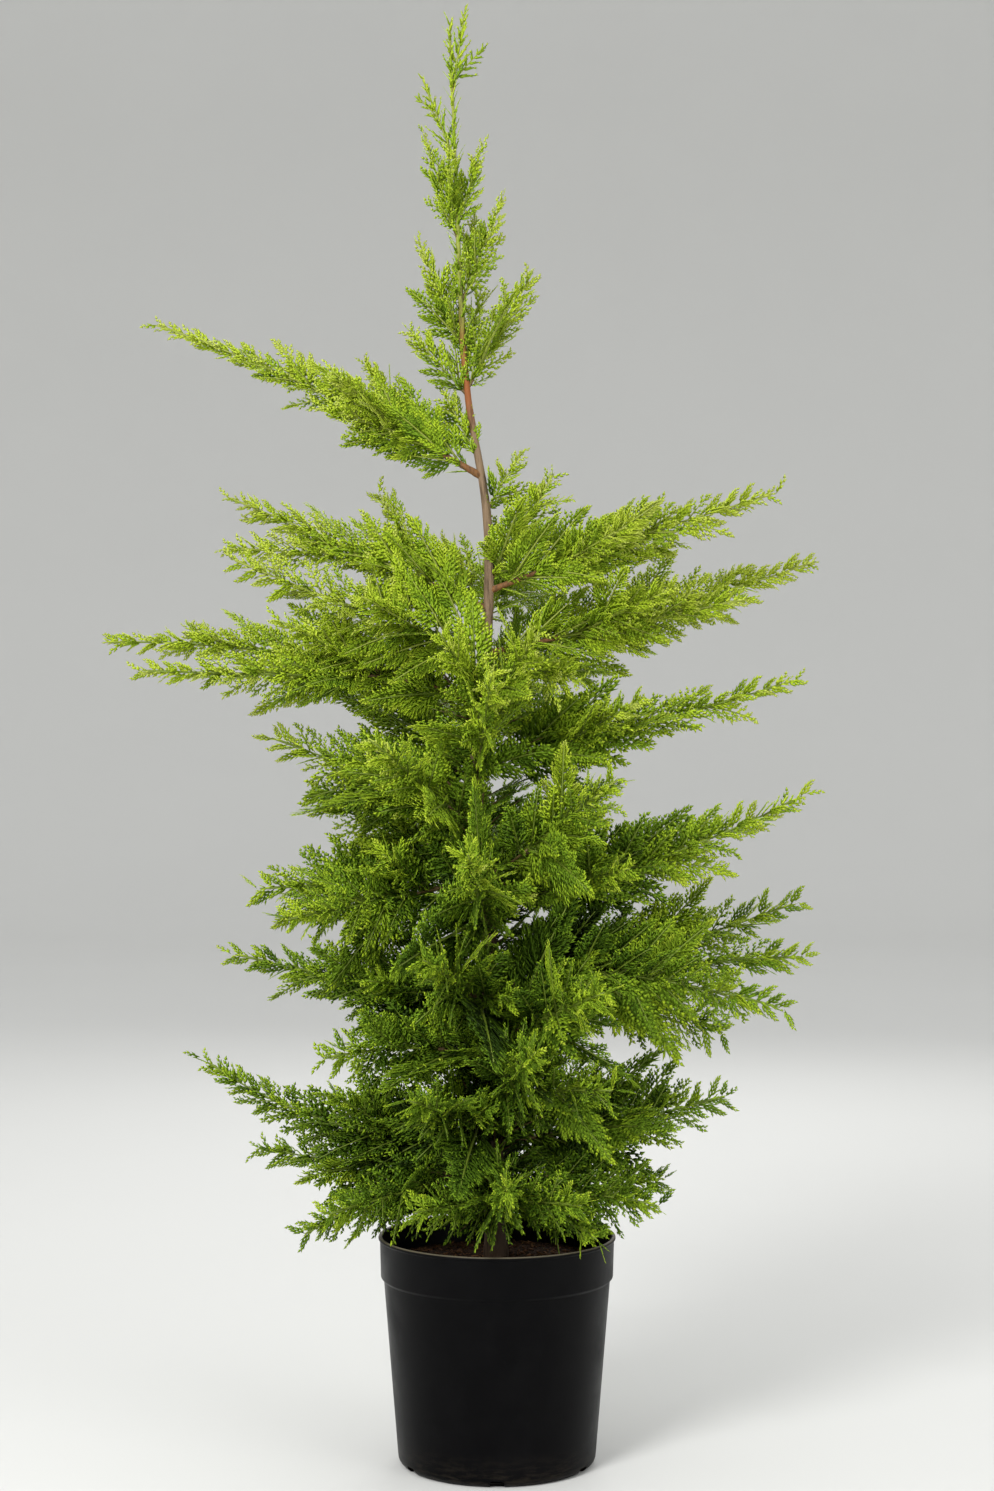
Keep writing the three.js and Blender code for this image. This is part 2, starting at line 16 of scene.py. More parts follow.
import bpy
import numpy as np
from bpy.types import Material, Node, NodeSocket, Object
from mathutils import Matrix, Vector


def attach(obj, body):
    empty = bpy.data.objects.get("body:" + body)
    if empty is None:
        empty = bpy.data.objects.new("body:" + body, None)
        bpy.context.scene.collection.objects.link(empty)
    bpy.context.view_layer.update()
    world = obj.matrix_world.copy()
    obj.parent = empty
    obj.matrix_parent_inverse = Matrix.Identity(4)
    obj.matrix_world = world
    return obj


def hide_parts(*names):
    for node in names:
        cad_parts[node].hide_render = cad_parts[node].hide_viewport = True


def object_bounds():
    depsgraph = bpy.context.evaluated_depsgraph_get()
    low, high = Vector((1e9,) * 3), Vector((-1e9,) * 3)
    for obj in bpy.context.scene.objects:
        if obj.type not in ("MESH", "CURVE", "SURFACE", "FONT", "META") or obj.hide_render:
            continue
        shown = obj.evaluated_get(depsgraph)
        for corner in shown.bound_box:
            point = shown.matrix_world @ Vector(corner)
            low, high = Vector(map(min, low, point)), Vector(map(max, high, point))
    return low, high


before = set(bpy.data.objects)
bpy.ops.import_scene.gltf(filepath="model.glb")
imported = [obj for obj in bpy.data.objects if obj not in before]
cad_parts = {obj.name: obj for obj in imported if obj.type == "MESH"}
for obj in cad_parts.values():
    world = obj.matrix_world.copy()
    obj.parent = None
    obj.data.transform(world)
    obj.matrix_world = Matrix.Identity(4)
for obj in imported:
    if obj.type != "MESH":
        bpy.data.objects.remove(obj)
cad_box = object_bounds()

MM = 0.001
BODY = "root"
UP = np.array([0.0, 0.0, 1.0])
GOLDEN_TURN = 137.5
WORD = 0xFFFFFFFF
COPY_DRAWS = 1000

Array = np.ndarray
Random = np.random.Generator
Colour = tuple[float, float, float, float]
Fork = tuple[float, float, float, float]

log = logging.getLogger("cypress")


# ---- Numbers and vectors ----


class Draw:
    """A seeded stream of numbers, the same one that the solids' sprays were drawn from."""

    stride: int = 0x6D2B79F5

    def __init__(self, seed: int) -> None:
        """Starts the stream.

        Args:
            seed: any whole number; the same seed gives the same stream.
        """
        self.state = seed & WORD

    def __call__(self, low: float, high: float) -> float:
        """Draws the next number.

        Args:
            low: the least it can be.
            high: the most it can be.

        Returns:
            A number from low to high.
        """
        self.state = (self.state + self.stride) & WORD
        mix = ((self.state ^ (self.state >> 15)) * (self.state | 1)) & WORD
        mix ^= (mix + (((mix ^ (mix >> 7)) * (mix | 61)) & WORD)) & WORD
        return low + (high - low) * ((mix ^ (mix >> 14)) & WORD) / (WORD + 1)


def level(turn: float) -> Array:
    """A level unit vector at a turn in radians, with 0 to the right and a quarter turn to the back."""
    return np.array([math.cos(turn), math.sin(turn), 0.0])


def heading(azimuth: float) -> Array:
    """A level unit vector at a turn in degrees."""
    return level(math.radians(azimuth))


def leaned(ahead: Array, out: Array, angle: float) -> Array:
    """The direction that leans from one unit vector towards another, square to it, by radians."""
    return ahead * math.cos(angle) + out * math.sin(angle)


def unit(vector: Array) -> Array:
    """The vector, or each row of vectors, at length one."""
    return vector / np.linalg.norm(vector, axis=-1, keepdims=True)


def squared(vector: Array, axis: Array) -> Array:
    """The part of a vector that stands square to a unit axis, at length one."""
    return unit(vector - axis * np.dot(vector, axis))


def turned(vector: Array, axis: Array, angle: float) -> Array:
    """Turns a vector about a unit axis.

    Args:
        vector: what is turned.
        axis: the unit vector it turns about.
        angle: in radians, right-handed.

    Returns:
        The turned vector.
    """
    cos, sin = math.cos(angle), math.sin(angle)
    return vector * cos + np.cross(axis, vector) * sin + axis * np.dot(axis, vector) * (1 - cos)


# ---- The growth rule ----


@dataclass(frozen=True)
class TrunkLine:
    """The trunk's axis and radius, from the soil to the tip of the leader."""

    foot: float = 205.3
    top: float = 1456.0
    lean_x: tuple[float, ...] = (-1, -4, -7, -10, -21, -10, -10, -30, -38, -43, -48)
    lean_y: tuple[float, ...] = (0, 3, 5, 2, -3, -6, -4, 1, 4, 3, 0)
    tip_radius: float = 1.0
    foot_radius: float = 11.0
    taper: float = 1.15
    flare: float = 4.5
    flare_height: float = 34.0
    tension: float = 0.5

    def at(self, z: float) -> Array:
        """The middle of the trunk at a height.

        Args:
            z: the height.

        Returns:
            The point on the axis.
        """
        steps = len(self.lean_x) - 1
        place = (z - self.foot) / (self.top - self.foot) * steps
        step = min(steps - 1, max(0, math.floor(place)))
        part = place - step
        point = [self._bend(lean, step, part) for lean in (self.lean_x, self.lean_y)]
        return np.array([*point, z])

    def _bend(self, lean: Sequence[float], step: int, part: float) -> float:
        """One coordinate of the axis, on a smooth curve through evenly spaced values.

        Args:
            lean: the values.
            step: the number of the value just before the place.
            part: the share of the way on to the next value.

        Returns:
            The coordinate.
        """
        last = len(lean) - 1
        one, two = lean[step], lean[step + 1]
        before = lean[step - 1] if step else 2 * one - two
        after = lean[step + 2] if step + 2 <= last else 2 * two - one
        start, end = self.tension * (two - before), self.tension * (after - one)
        square = -3 * one + 3 * two - 2 * start - end
        cube = 2 * one - 2 * two + start + end
        return one + part * (start + part * (square + part * cube))

    def radius(self, z: float) -> float:
        """The trunk's radius at a height, with the swelling over the roots.

        Args:
            z: the height.

        Returns:
            The radius.
        """
        height = z - self.foot
        share = min(1.0, max(0.0, height / (self.top - self.foot)))
        flare = max(0.0, 1 - max(0.0, height) / self.flare_height)
        wood = self.tip_radius + (self.foot_radius - self.tip_radius) * (1 - share) ** self.taper
        return wood + self.flare * flare**2


@dataclass(frozen=True)
class Stem:
    """One stem of a limb: a parabola from its foot to its tip."""

    foot: Array
    middle: Array
    tip: Array
    side: Array
    bare: float
    foot_radius: float
    start: float
    origin: float = 0.0
    tip_radius: float = 0.8
    measures: int = 200

    @classmethod
    def grow(cls, foot: Array, azimuth: float, reach: float, rise: float, arch: float,
             **rest: float) -> "Stem":
        """Sets a stem out from its foot.

        Args:
            foot: where it starts.
            azimuth: the way it heads, in degrees.
            reach: level distance to its tip.
            rise: upward distance to its tip.
            arch: how far its middle stands above the straight line.
            rest: the stem's other fields.

        Returns:
            The stem.
        """
        tip = foot + heading(azimuth) * reach + UP * rise
        middle = (foot + tip) / 2 + UP * 2 * arch
        return cls(foot, middle, tip, heading(azimuth - 90), **rest)

    def at(self, share: float) -> Array:
        """The point at a share of the way along."""
        left = 1 - share
        return left * left * self.foot + 2 * left * share * self.middle + share * share * self.tip

    def along(self, share: float) -> Array:
        """The unit direction of the stem at a share of the way along."""
        return unit((1 - share) * (self.middle - self.foot) + share * (self.tip - self.middle))

    def axes(self, share: float) -> tuple[Array, Array, Array]:
        """The stem's own directions.

        Args:
            share: of the way along it.

        Returns:
            Along it, to its side, and out of its upper face.
        """
        along = self.along(share)
        upper = unit(np.cross(self.side, along))
        return along, np.cross(along, upper), upper

    def radius(self, share: float) -> float:
        """Its radius at a share of the way along."""
        return self.tip_radius + (self.foot_radius - self.tip_radius) * (1 - share)

    def length(self) -> float:
        """How long it is along its curve."""
        points = np.array([self.at(i / self.measures) for i in range(self.measures + 1)])
        return float(np.linalg.norm(np.diff(points, axis=0), axis=1).sum())


@dataclass(frozen=True)
class StemHabit:
    """How a limb's stems are sized and where the seed lets it fork."""

    foot_per_reach: float = 0.009
    least: float = 1.6
    joint_gap: float = 0.3
    step_length: float = 100.0
    fork_share: float = 0.8
    fork_bare: float = 0.2
    after_bough: float = 0.06
    twigs_per_reach: float = 1 / 165
    count_slack: float = 1e-9
    first: float = 0.26
    last: float = 0.66
    turn: float = 42.0
    turn_vary: float = 10.0
    reach: float = 0.44
    rise: float = 0.34
    rise_vary: float = 0.3


@dataclass(frozen=True)
class SprayHabit:
    """How flat sprays are dealt out along a stem, and the outline that each one fills."""

    pitch: float = 46.0
    open: float = 48.0
    open_vary: float = 9.0
    lift: float = 0.14
    roll_vary: float = 26.0
    twist_vary: float = 38.0
    inner: float = 2.2
    outer: float = 0.36
    taper: float = 1.5
    length_vary: float = 0.12
    droop: float = 0.1
    last: float = 0.56
    last_most: float = 0.5
    last_twist: float = 57.0
    last_sunk: float = 0.02
    lean_back: float = 0.5
    before: float = 0.2
    after: float = 0.4
    tries: tuple[float, ...] = (1, 0.86, 0.72, 0.58, 0.46)
    found_within: float = 1.5


@dataclass
class Spray:
    """One flat spray: a twig with fronds to both sides of it."""

    root: Array
    along: Array
    wide: Array
    length: float
    outer: float
    ending: bool = False


STEMS = StemHabit()
SPRAYS = SprayHabit()


@dataclass
class Limb:
    """A limb of the plant, from the trunk to its furthest tip.

    The forks are (share along the limb, turn in degrees, reach, rise) each.
    """

    name: str
    z: float
    azimuth: float
    reach: float
    rise: float
    spray: float
    open: float = SPRAYS.open
    arch: float = 0.0
    bough: float = 0.0
    leaf: float | None = None
    forks: tuple[Fork, ...] = ()
    stems: list[Stem] = field(default_factory=list)
    sprays: list[Spray] = field(default_factory=list)

    @property
    def mass(self) -> str:
        """The name of the CAD node that holds its foliage."""
        return f"mass_{self.name}"

    @property
    def bark(self) -> str | None:
        """The name of the CAD node of its bare bough, if it has one."""
        return f"bough_{self.name}" if self.bough else None

    def grow(self, trunk: TrunkLine, seed: int) -> None:
        """Sets out the limb's stems, and the sprays that its solid holds.

        Args:
            trunk: the line that it leaves.
            seed: the seed of its stream of numbers.
        """
        draw = Draw(seed)
        self.stems = list(self._stems(trunk, draw))
        tips = self._solid_corners()
        endings = [self._ending(stem, draw) for stem in self.stems]
        self.sprays = list(endings)
        for stem, ending in zip(self.stems, endings):
            stop = 1 - ending.length / stem.length() + SPRAYS.last_sunk
            for share, size, turns in self._dealt(stem, draw):
                if share <= stop:
                    spray = self._spray(stem, share, stop, turns)
                    spray.length = size * self._kept(spray, size, tips)
                    self.sprays += [spray] if spray.length else []

    def _stems(self, trunk: TrunkLine, draw: Draw) -> Iterator[Stem]:
        """Sets out the main stem, then its forks and the side twigs that the seed gives it.

        Args:
            trunk: the line that it leaves.
            draw: the limb's stream of numbers.

        Returns:
            Each stem, the main one first.
        """
        foot = max(STEMS.least, self.reach * STEMS.foot_per_reach)
        bare = self.bough + STEMS.after_bough if self.leaf is None else self.leaf
        main = Stem.grow(trunk.at(self.z), self.azimuth, self.reach, self.rise, self.arch,
                         bare=bare, foot_radius=foot, start=0.0, origin=self.bough)
        yield main
        for share, turn, reach, rise in [*self.forks, *self._twigs(draw)]:
            yield Stem.grow(main.at(share), self.azimuth + turn, reach, rise, 0.0,
                            bare=STEMS.fork_bare, foot_radius=foot * STEMS.fork_share, start=share)

    def _twigs(self, draw: Draw) -> list[Fork]:
        """Sets side twigs to the left and right by turns.

        Args:
            draw: the limb's stream of numbers.

        Returns:
            The twigs, in the same form as the forks.
        """
        side = -1 if draw(0, 1) < 0.5 else 1
        count = math.floor(self.reach * STEMS.twigs_per_reach + STEMS.count_slack)
        first = max(STEMS.first, self.bough + STEMS.after_bough)
        twigs = []
        for k in range(count):
            share = first + (STEMS.last - first) * k / max(1, count - 1)
            turn = side * (STEMS.turn + draw(-STEMS.turn_vary, STEMS.turn_vary))
            reach = STEMS.reach * (1 - share) * self.reach
            rise = reach * (STEMS.rise + draw(-STEMS.rise_vary, STEMS.rise_vary))
            twigs.append((share, turn, reach, rise))
            side = -side
        return twigs

    def _ending(self, stem: Stem, draw: Draw) -> Spray:
        """Sets the spray that carries a stem on to its tip.

        Args:
            stem: one of the limb's stems.
            draw: the limb's stream of numbers.

        Returns:
            The spray.
        """
        length = stem.length()
        size = min(self.spray * SPRAYS.last, length * SPRAYS.last_most)
        share = 1 - size / length
        root = stem.at(share)
        along = unit(stem.tip + UP * SPRAYS.droop * size - root)
        twist = math.radians(draw(-SPRAYS.last_twist, SPRAYS.last_twist))
        wide = squared(turned(stem.axes(share)[2], along, twist), along)
        return Spray(root, along, wide, size, 1.0, ending=True)

    def _dealt(self, stem: Stem, draw: Draw) -> Iterator[tuple[float, float, list[float]]]:
        """Deals sprays out along a stem.

        Args:
            stem: one of the limb's stems.
            draw: the limb's stream of numbers.

        Returns:
            Where each starts, how long it is, and how it opens, rolls and twists in radians.
        """
        run = (1 - stem.bare) * stem.length()
        count = max(1, math.floor(run / SPRAYS.pitch + 0.5))
        first_roll = draw(0, 360)
        for k in range(count):
            share = stem.bare + (1 - stem.bare) * (k + SPRAYS.before) / (count + SPRAYS.after)
            opened = self.open + draw(-SPRAYS.open_vary, SPRAYS.open_vary)
            roll = first_roll + GOLDEN_TURN * k + draw(-SPRAYS.roll_vary, SPRAYS.roll_vary)
            twist = draw(-SPRAYS.twist_vary, SPRAYS.twist_vary)
            left = (1 - stem.start) * (1 - share)
            size = self.spray * (1 + draw(-SPRAYS.length_vary, SPRAYS.length_vary))
            size *= SPRAYS.outer + (SPRAYS.inner - SPRAYS.outer) * left**SPRAYS.taper
            yield share, size, [math.radians(turn) for turn in (opened, roll, twist)]

    def _spray(self, stem: Stem, share: float, stop: float, turns: Sequence[float]) -> Spray:
        """Sets a spray that leaves a stem forwards, with its flat in the plane of the two.

        Args:
            stem: that it leaves.
            share: of the way along the stem.
            stop: the share at which the solid stem ends.
            turns: how it opens, rolls and twists, in radians.

        Returns:
            The spray, with no length yet.
        """
        opened, roll, twist = turns
        ahead, side, upper = stem.axes(share)
        out = leaned(side, upper, roll)
        along = unit(leaned(ahead, out, opened) + UP * SPRAYS.lift)
        wide = turned(squared(ahead - out * SPRAYS.lean_back, along), along, twist)
        outer = 1 - (1 - stem.start) * (1 - share)
        return Spray(self._root(stem, share, stop), along, wide, 0.0, outer)

    def _root(self, stem: Stem, share: float, stop: float) -> Array:
        """Finds the place on a solid stem, which runs in a few straight steps, where a spray starts.

        Args:
            stem: the smooth stem.
            share: of the way along it.
            stop: the share at which the solid stem ends.

        Returns:
            The point in the middle of the solid stem.
        """
        length = stem.length()
        begin = stem.origin + (STEMS.joint_gap / length if stem.origin else 0.0)
        count = max(2, math.floor(length * (stop - begin) / STEMS.step_length + 0.5))
        step = count * (share - begin) / (stop - begin)
        before = min(count - 1, math.floor(step))
        ends = [stem.at(begin + (stop - begin) * i / count) for i in (before, before + 1)]
        return ends[0] + (ends[1] - ends[0]) * (step - before)

    def _solid_corners(self) -> Array:
        """Reads the corners of the limb's packed foliage.

        Returns:
            A row for each corner, in millimetres.
        """
        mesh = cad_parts[self.mass].data
        corners = np.empty(len(mesh.vertices) * 3, np.float32)
        mesh.vertices.foreach_get("co", corners)
        return corners.reshape(-1, 3) / MM

    def _kept(self, spray: Spray, size: float, corners: Array) -> float:
        """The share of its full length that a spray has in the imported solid.

        Args:
            spray: where it starts and which way it points.
            size: its full length.
            corners: the corners of the solid.

        Returns:
            One of the lengths that were tried, or 0 where the spray was left out.
        """
        for scale in SPRAYS.tries:
            length = size * scale
            tip = spray.root + spray.along * length - UP * SPRAYS.droop * length
            if np.linalg.norm(corners - tip, axis=1).min() < SPRAYS.found_within:
                return scale
        return 0.0


LIMBS = (
    Limb("tip", 1386, 340, 15, 89, 32, open=30),
    Limb("leader_left", 1316, 172, 34, 86, 34, open=30),
    Limb("leader_right", 1252, 350, 27, 84, 38, open=30),
    Limb("leader_low_left", 1236, 200, 38, 108, 40, open=30, forks=((0.16, 62, 30, 78),)),
    Limb("leader_low_right", 1172, 12, 44, 112, 44, open=32, forks=((0.16, 66, 34, 84),)),
    Limb("high_left", 1124, 168, 48, 116, 46, open=32),
    Limb("high_right", 1084, 352, 64, 112, 80, open=30),
    Limb("high_back", 1104, 78, 78, 100, 60),
    Limb("collar_left", 1078, 192, 62, 66, 54, open=38),
    Limb("left_top", 996, 184, 328, 150, 70, open=27, arch=10, bough=0.12, leaf=0.15,
         forks=((0.18, -50, 92, 92), (0.22, 20, 98, 26))),
    Limb("spur_right", 962, 345, 38, 60, 38),
    Limb("spur_left", 1012, 176, 38, 74, 50, open=34),
    Limb("plume_right", 888, 350, 68, 112, 66),
    Limb("right_top", 880, 352, 290, 95, 80, open=32, arch=4, bough=0.16, leaf=0.19,
         forks=((0.24, 20, 128, 22),)),
    Limb("left_high", 862, 177, 268, 115, 76, open=33, arch=2, bough=0.14, leaf=0.17,
         forks=((0.22, -42, 78, 98), (0.46, 12, 146, 5))),
    Limb("back_high", 850, 74, 152, 104, 86, forks=((0.26, 52, 104, 62),)),
    Limb("left_front_high", 820, 192, 262, 90, 86, arch=-4, leaf=0.16),
    Limb("right_high", 816, 10, 352, 100, 80, open=32, arch=-5, bough=0.14, leaf=0.17,
         forks=((0.2, -14, 200, 40),)),
    Limb("spur_low_right", 790, 326, 124, -6, 72, arch=12, leaf=0.18),
    Limb("left_upper", 766, 178, 386, 62, 80, open=31, arch=20, bough=0.12, leaf=0.15,
         forks=((0.22, 16, 262, 4),)),
    Limb("front_high", 748, 300, 124, 88, 84, forks=((0.16, -58, 104, 74),)),
    Limb("back_upper", 744, 72, 196, 92, 86, open=42),
    Limb("right_upper", 704, 350, 326, 86, 76, open=30, arch=-4, bough=0.16, leaf=0.19),
    Limb("back_left", 694, 120, 205, 104, 98),
    Limb("front_upper", 688, 276, 154, 110, 92),
    Limb("left_middle", 668, 170, 222, 66, 92, open=40, arch=-4, leaf=0.14),
    Limb("front_left", 634, 232, 178, 98, 98),
    Limb("back_middle", 574, 88, 250, 84, 106, leaf=0.16,
         forks=((0.22, -42, 178, 50), (0.26, 42, 176, 48))),
    Limb("left_back", 598, 150, 214, 72, 98, leaf=0.14),
    Limb("right_front", 586, 312, 192, 108, 104, leaf=0.14),
    Limb("left_broad", 576, 187, 236, 4, 108, arch=4, leaf=0.14, forks=((0.2, 32, 192, -24),)),
    Limb("right_broad", 564, 347, 326, 114, 86, open=34, arch=-14, bough=0.22, leaf=0.26,
         forks=((0.34, 38, 152, 58),)),
    Limb("front_middle", 532, 264, 188, 92, 104, leaf=0.14),
    Limb("right_front_low", 498, 338, 310, -30, 106, arch=12, leaf=0.24, forks=((0.26, 24, 164, -66),)),
    Limb("right_low", 474, 10, 326, 88, 98, open=42, arch=-6, bough=0.2, leaf=0.24,
         forks=((0.34, -12, 216, 10),)),
    Limb("left_low", 466, 182, 264, 48, 86, open=38, arch=-4, leaf=0.16, forks=((0.2, -34, 180, 12),)),
    Limb("front_centre", 458, 252, 206, 66, 106, leaf=0.14),
    Limb("front_right", 424, 302, 210, 68, 106, leaf=0.14),
    Limb("left_front", 408, 212, 196, 10, 98, arch=10, leaf=0.16),
    Limb("back_low", 398, 94, 236, 46, 106, leaf=0.16,
         forks=((0.2, -34, 186, 18), (0.24, 34, 184, 16))),
    Limb("front_low", 364, 282, 202, 74, 104, leaf=0.14, forks=((0.2, 32, 158, 16),)),
    Limb("left_base", 334, 178, 300, 74, 84, open=36, arch=-34, bough=0.24, leaf=0.28),
    Limb("front_low_left", 336, 246, 200, 54, 100, leaf=0.14),
    Limb("right_base", 322, 356, 238, 50, 96, arch=-6, leaf=0.18, forks=((0.2, 38, 180, 20),)),
    Limb("left_skirt", 282, 170, 252, 28, 86, arch=-2, leaf=0.18,
         forks=((0.16, 52, 166, -18), (0.3, 24, 122, -58))),
    Limb("back_skirt", 272, 92, 214, 12, 92, leaf=0.18),
    Limb("right_skirt", 266, 330, 188, 8, 84, arch=8, leaf=0.18,
         forks=((0.24, -26, 112, -30), (0.3, 44, 130, 10))),
    Limb("front_skirt", 262, 274, 180, 44, 90, leaf=0.2,
         forks=((0.2, -44, 128, 4), (0.24, 40, 120, 8))),
)


# ---- Fronds ----


class Tone(Enum):
    """The greens of the foliage, from the oldest inner sprays to the newest tips. The darker inside and
    lower crown are partly painted shade, and the lighter top partly painted light.
    """

    DEEP = 0
    DARK = 1
    MIDDLE = 2
    FRESH = 3
    BRIGHT = 4
    LIME = 5
    PALE = 6


@dataclass(frozen=True)
class Shoot:
    """The smallest piece of foliage: a closed kite of four faces with a low keel.

    Its corners are its root, its left and right shoulders, and its tip.
    """

    shoulder: float = 0.25
    keel: float = 0.16
    faces: tuple[tuple[int, int, int], ...] = ((0, 2, 1), (3, 1, 2), (0, 1, 3), (0, 3, 2))

    def corners(self, root: Array, along: Array, length: float, width: float) -> Array:
        """The four corners of one shoot.

        Args:
            root: where it starts, inside the stem that carries it.
            along: its unit direction.
            length: from root to tip.
            width: across its shoulders.

        Returns:
            A row for each corner.
        """
        across = squared(np.array([-along[1], along[0], 0.0]), along)
        shoulder = root + along * self.shoulder * length + np.cross(along, across) * self.keel * width
        half = across * width / 2
        return np.array([root, shoulder + half, shoulder - half, root + along * length])


SHOOT = Shoot()


@dataclass(frozen=True)
class FrondHabit:
    """How the side shoots of one kind of frond are set along its rib, and the teeth along them."""

    pitch: float
    reach: float
    angle: float
    closing: float
    width: float
    tooth_pitch: float
    tooth_length: float
    tooth_width: float
    tooth_angle: float = 19.0
    tooth_forward: float = 4.0
    rib_width: float = 1.9
    first: float = 0.1
    rounding: float = 0.55
    tilt: float = 5.0
    vary: float = 0.16
    tooth_from: float = 0.22
    tooth_to: float = 0.86
    tooth_most: float = 0.74
    tooth_first: float = 0.3
    tooth_shorter: float = 0.4
    pale_from: float = 0.6
    sunk: float = 1.0
    least_shoots: int = 2
    least_widths: float = 1.5
    foot_share: float = 0.6
    foot_growth: float = 2.0
    angle_vary: float = 4.0

    def shoots(self, length: float, draw: Random) -> tuple[Array, Array]:
        """One flat frond of this kind, with its rib along +X.

        Args:
            length: of the rib.
            draw: the random numbers.

        Returns:
            The corners of each shoot, and which shoots are young enough to be a tone lighter.
        """
        ahead = np.array([1.0, 0.0, 0.0])
        rib = SHOOT.corners(-self.sunk * ahead, ahead, length + self.sunk, self.rib_width)
        shoots, young = [rib], [False]
        count = max(self.least_shoots, round((1 - self.first) * length / self.pitch))
        for k in range(count):
            share = self.first + (1 - self.first) * k / count
            side = 1 if k % 2 else -1
            size = length * self.reach * (1 - share) ** self.rounding * (1 + self._vary(draw))
            size = max(size, self.least_widths * self.width)
            size *= min(1.0, self.foot_share + self.foot_growth * share)
            angle = self.angle - self.closing * share + self.angle_vary * self._vary(draw)
            angle = side * math.radians(angle)
            root = np.array([share * length, 0.0, 0.0])
            along = self._direction(angle, draw)
            shoots.append(SHOOT.corners(root, along, size, self.width))
            young.append(share > self.pale_from)
            for tooth, far in self._teeth(root, along, angle, size, draw):
                shoots.append(tooth)
                young.append(far or share > self.pale_from)
        return np.array(shoots), np.array(young)

    def _teeth(self, root: Array, along: Array, angle: float, size: float,
               draw: Random) -> Iterator[tuple[Array, bool]]:
        """Sets the teeth along one side shoot, to its two sides by turns.

        Args:
            root: where the shoot starts.
            along: its unit direction.
            angle: of the shoot from the rib, in radians.
            size: its length.
            draw: the random numbers.

        Returns:
            The corners of each tooth, and whether it is young enough to be a tone lighter.
        """
        count = int((self.tooth_to - self.tooth_from) * size / self.tooth_pitch)
        for k in range(count):
            share = self.tooth_from + (self.tooth_to - self.tooth_from) * (k + self.tooth_first) / count
            side = 1 if k % 2 else -1
            away = math.radians(side * self.tooth_angle - self.tooth_forward)
            turn = angle + away * math.copysign(1, angle)
            length = min(self.tooth_length, self.tooth_most * size)
            length *= (1 - self.tooth_shorter * share) * (1 + self._vary(draw))
            tooth = SHOOT.corners(root + along * share * size, self._direction(turn, draw), length,
                                  self.tooth_width)
            yield tooth, share > self.pale_from

    def _direction(self, angle: float, draw: Random) -> Array:
        """A unit direction in the frond's flat, tilted a little out of it."""
        return leaned(level(angle), UP, math.radians(self.tilt) * draw.uniform(-1, 1))

    def _vary(self, draw: Random) -> float:
        """A small random share, more or less."""
        return self.vary * draw.uniform(-1, 1)


class FrondKind(Enum):
    """The kinds of frond: the usual one, the wide one deep in the crown, and the thin one at tips."""

    FINE = FrondHabit(pitch=2.8, reach=0.46, angle=33, closing=11, width=3.0,
                      tooth_pitch=4.2, tooth_length=12.0, tooth_width=2.3)
    BROAD = FrondHabit(pitch=3.7, reach=0.48, angle=37, closing=12, width=3.8,
                       tooth_pitch=5.8, tooth_length=14.0, tooth_width=2.9, rib_width=2.8)
    SLENDER = FrondHabit(pitch=5.2, reach=0.26, angle=28, closing=6, width=2.5,
                         tooth_pitch=8.0, tooth_length=5.0, tooth_width=2.2, rib_width=3.2,
                         rounding=0.7)


@dataclass
class FrondPatterns:
    """A few fronds of each kind and length, modelled once; every frond of the plant copies one."""

    seed: int
    lengths: tuple[float, ...] = (12, 17, 24, 32, 42, 54, 68)
    copies: int = 3
    shoots: list[tuple[Array, Array]] = field(default_factory=list)
    first: dict[tuple[FrondKind, int], int] = field(default_factory=dict)

    def __post_init__(self) -> None:
        """Models the patterns."""
        draw = np.random.default_rng(self.seed)
        for kind in FrondKind:
            for index, length in enumerate(self.lengths):
                self.first[kind, index] = len(self.shoots)
                self.shoots += [kind.value.shoots(length, draw) for _ in range(self.copies)]

    def pick(self, kind: FrondKind, length: float, copy: int) -> tuple[int, float]:
        """Finds the pattern nearest to a length.

        Args:
            kind: of frond.
            length: wanted.
            copy: any whole number, which picks among the patterns of that length.

        Returns:
            The pattern's number, and how much it is scaled to be that long.
        """
        index = min(range(len(self.lengths)), key=lambda i: abs(math.log(self.lengths[i] / length)))
        return self.first[kind, index] + copy % self.copies, length / self.lengths[index]


class Rind(Enum):
    """The colours of the twigs: old wood, green shoots, and the straw of the upper stems."""

    BROWN = 0
    GREEN = 1
    STRAW = 2


@dataclass
class Tube:
    """A round twig through a few points."""

    points: Array
    radii: Sequence[float]
    rind: Rind


@dataclass
class FrondRow:
    """One frond of the plant: where it is, how it lies, and its tone before its shoots vary it."""

    pattern: int
    scale: float
    root: Array
    axes: Array
    bend: float
    tone: float


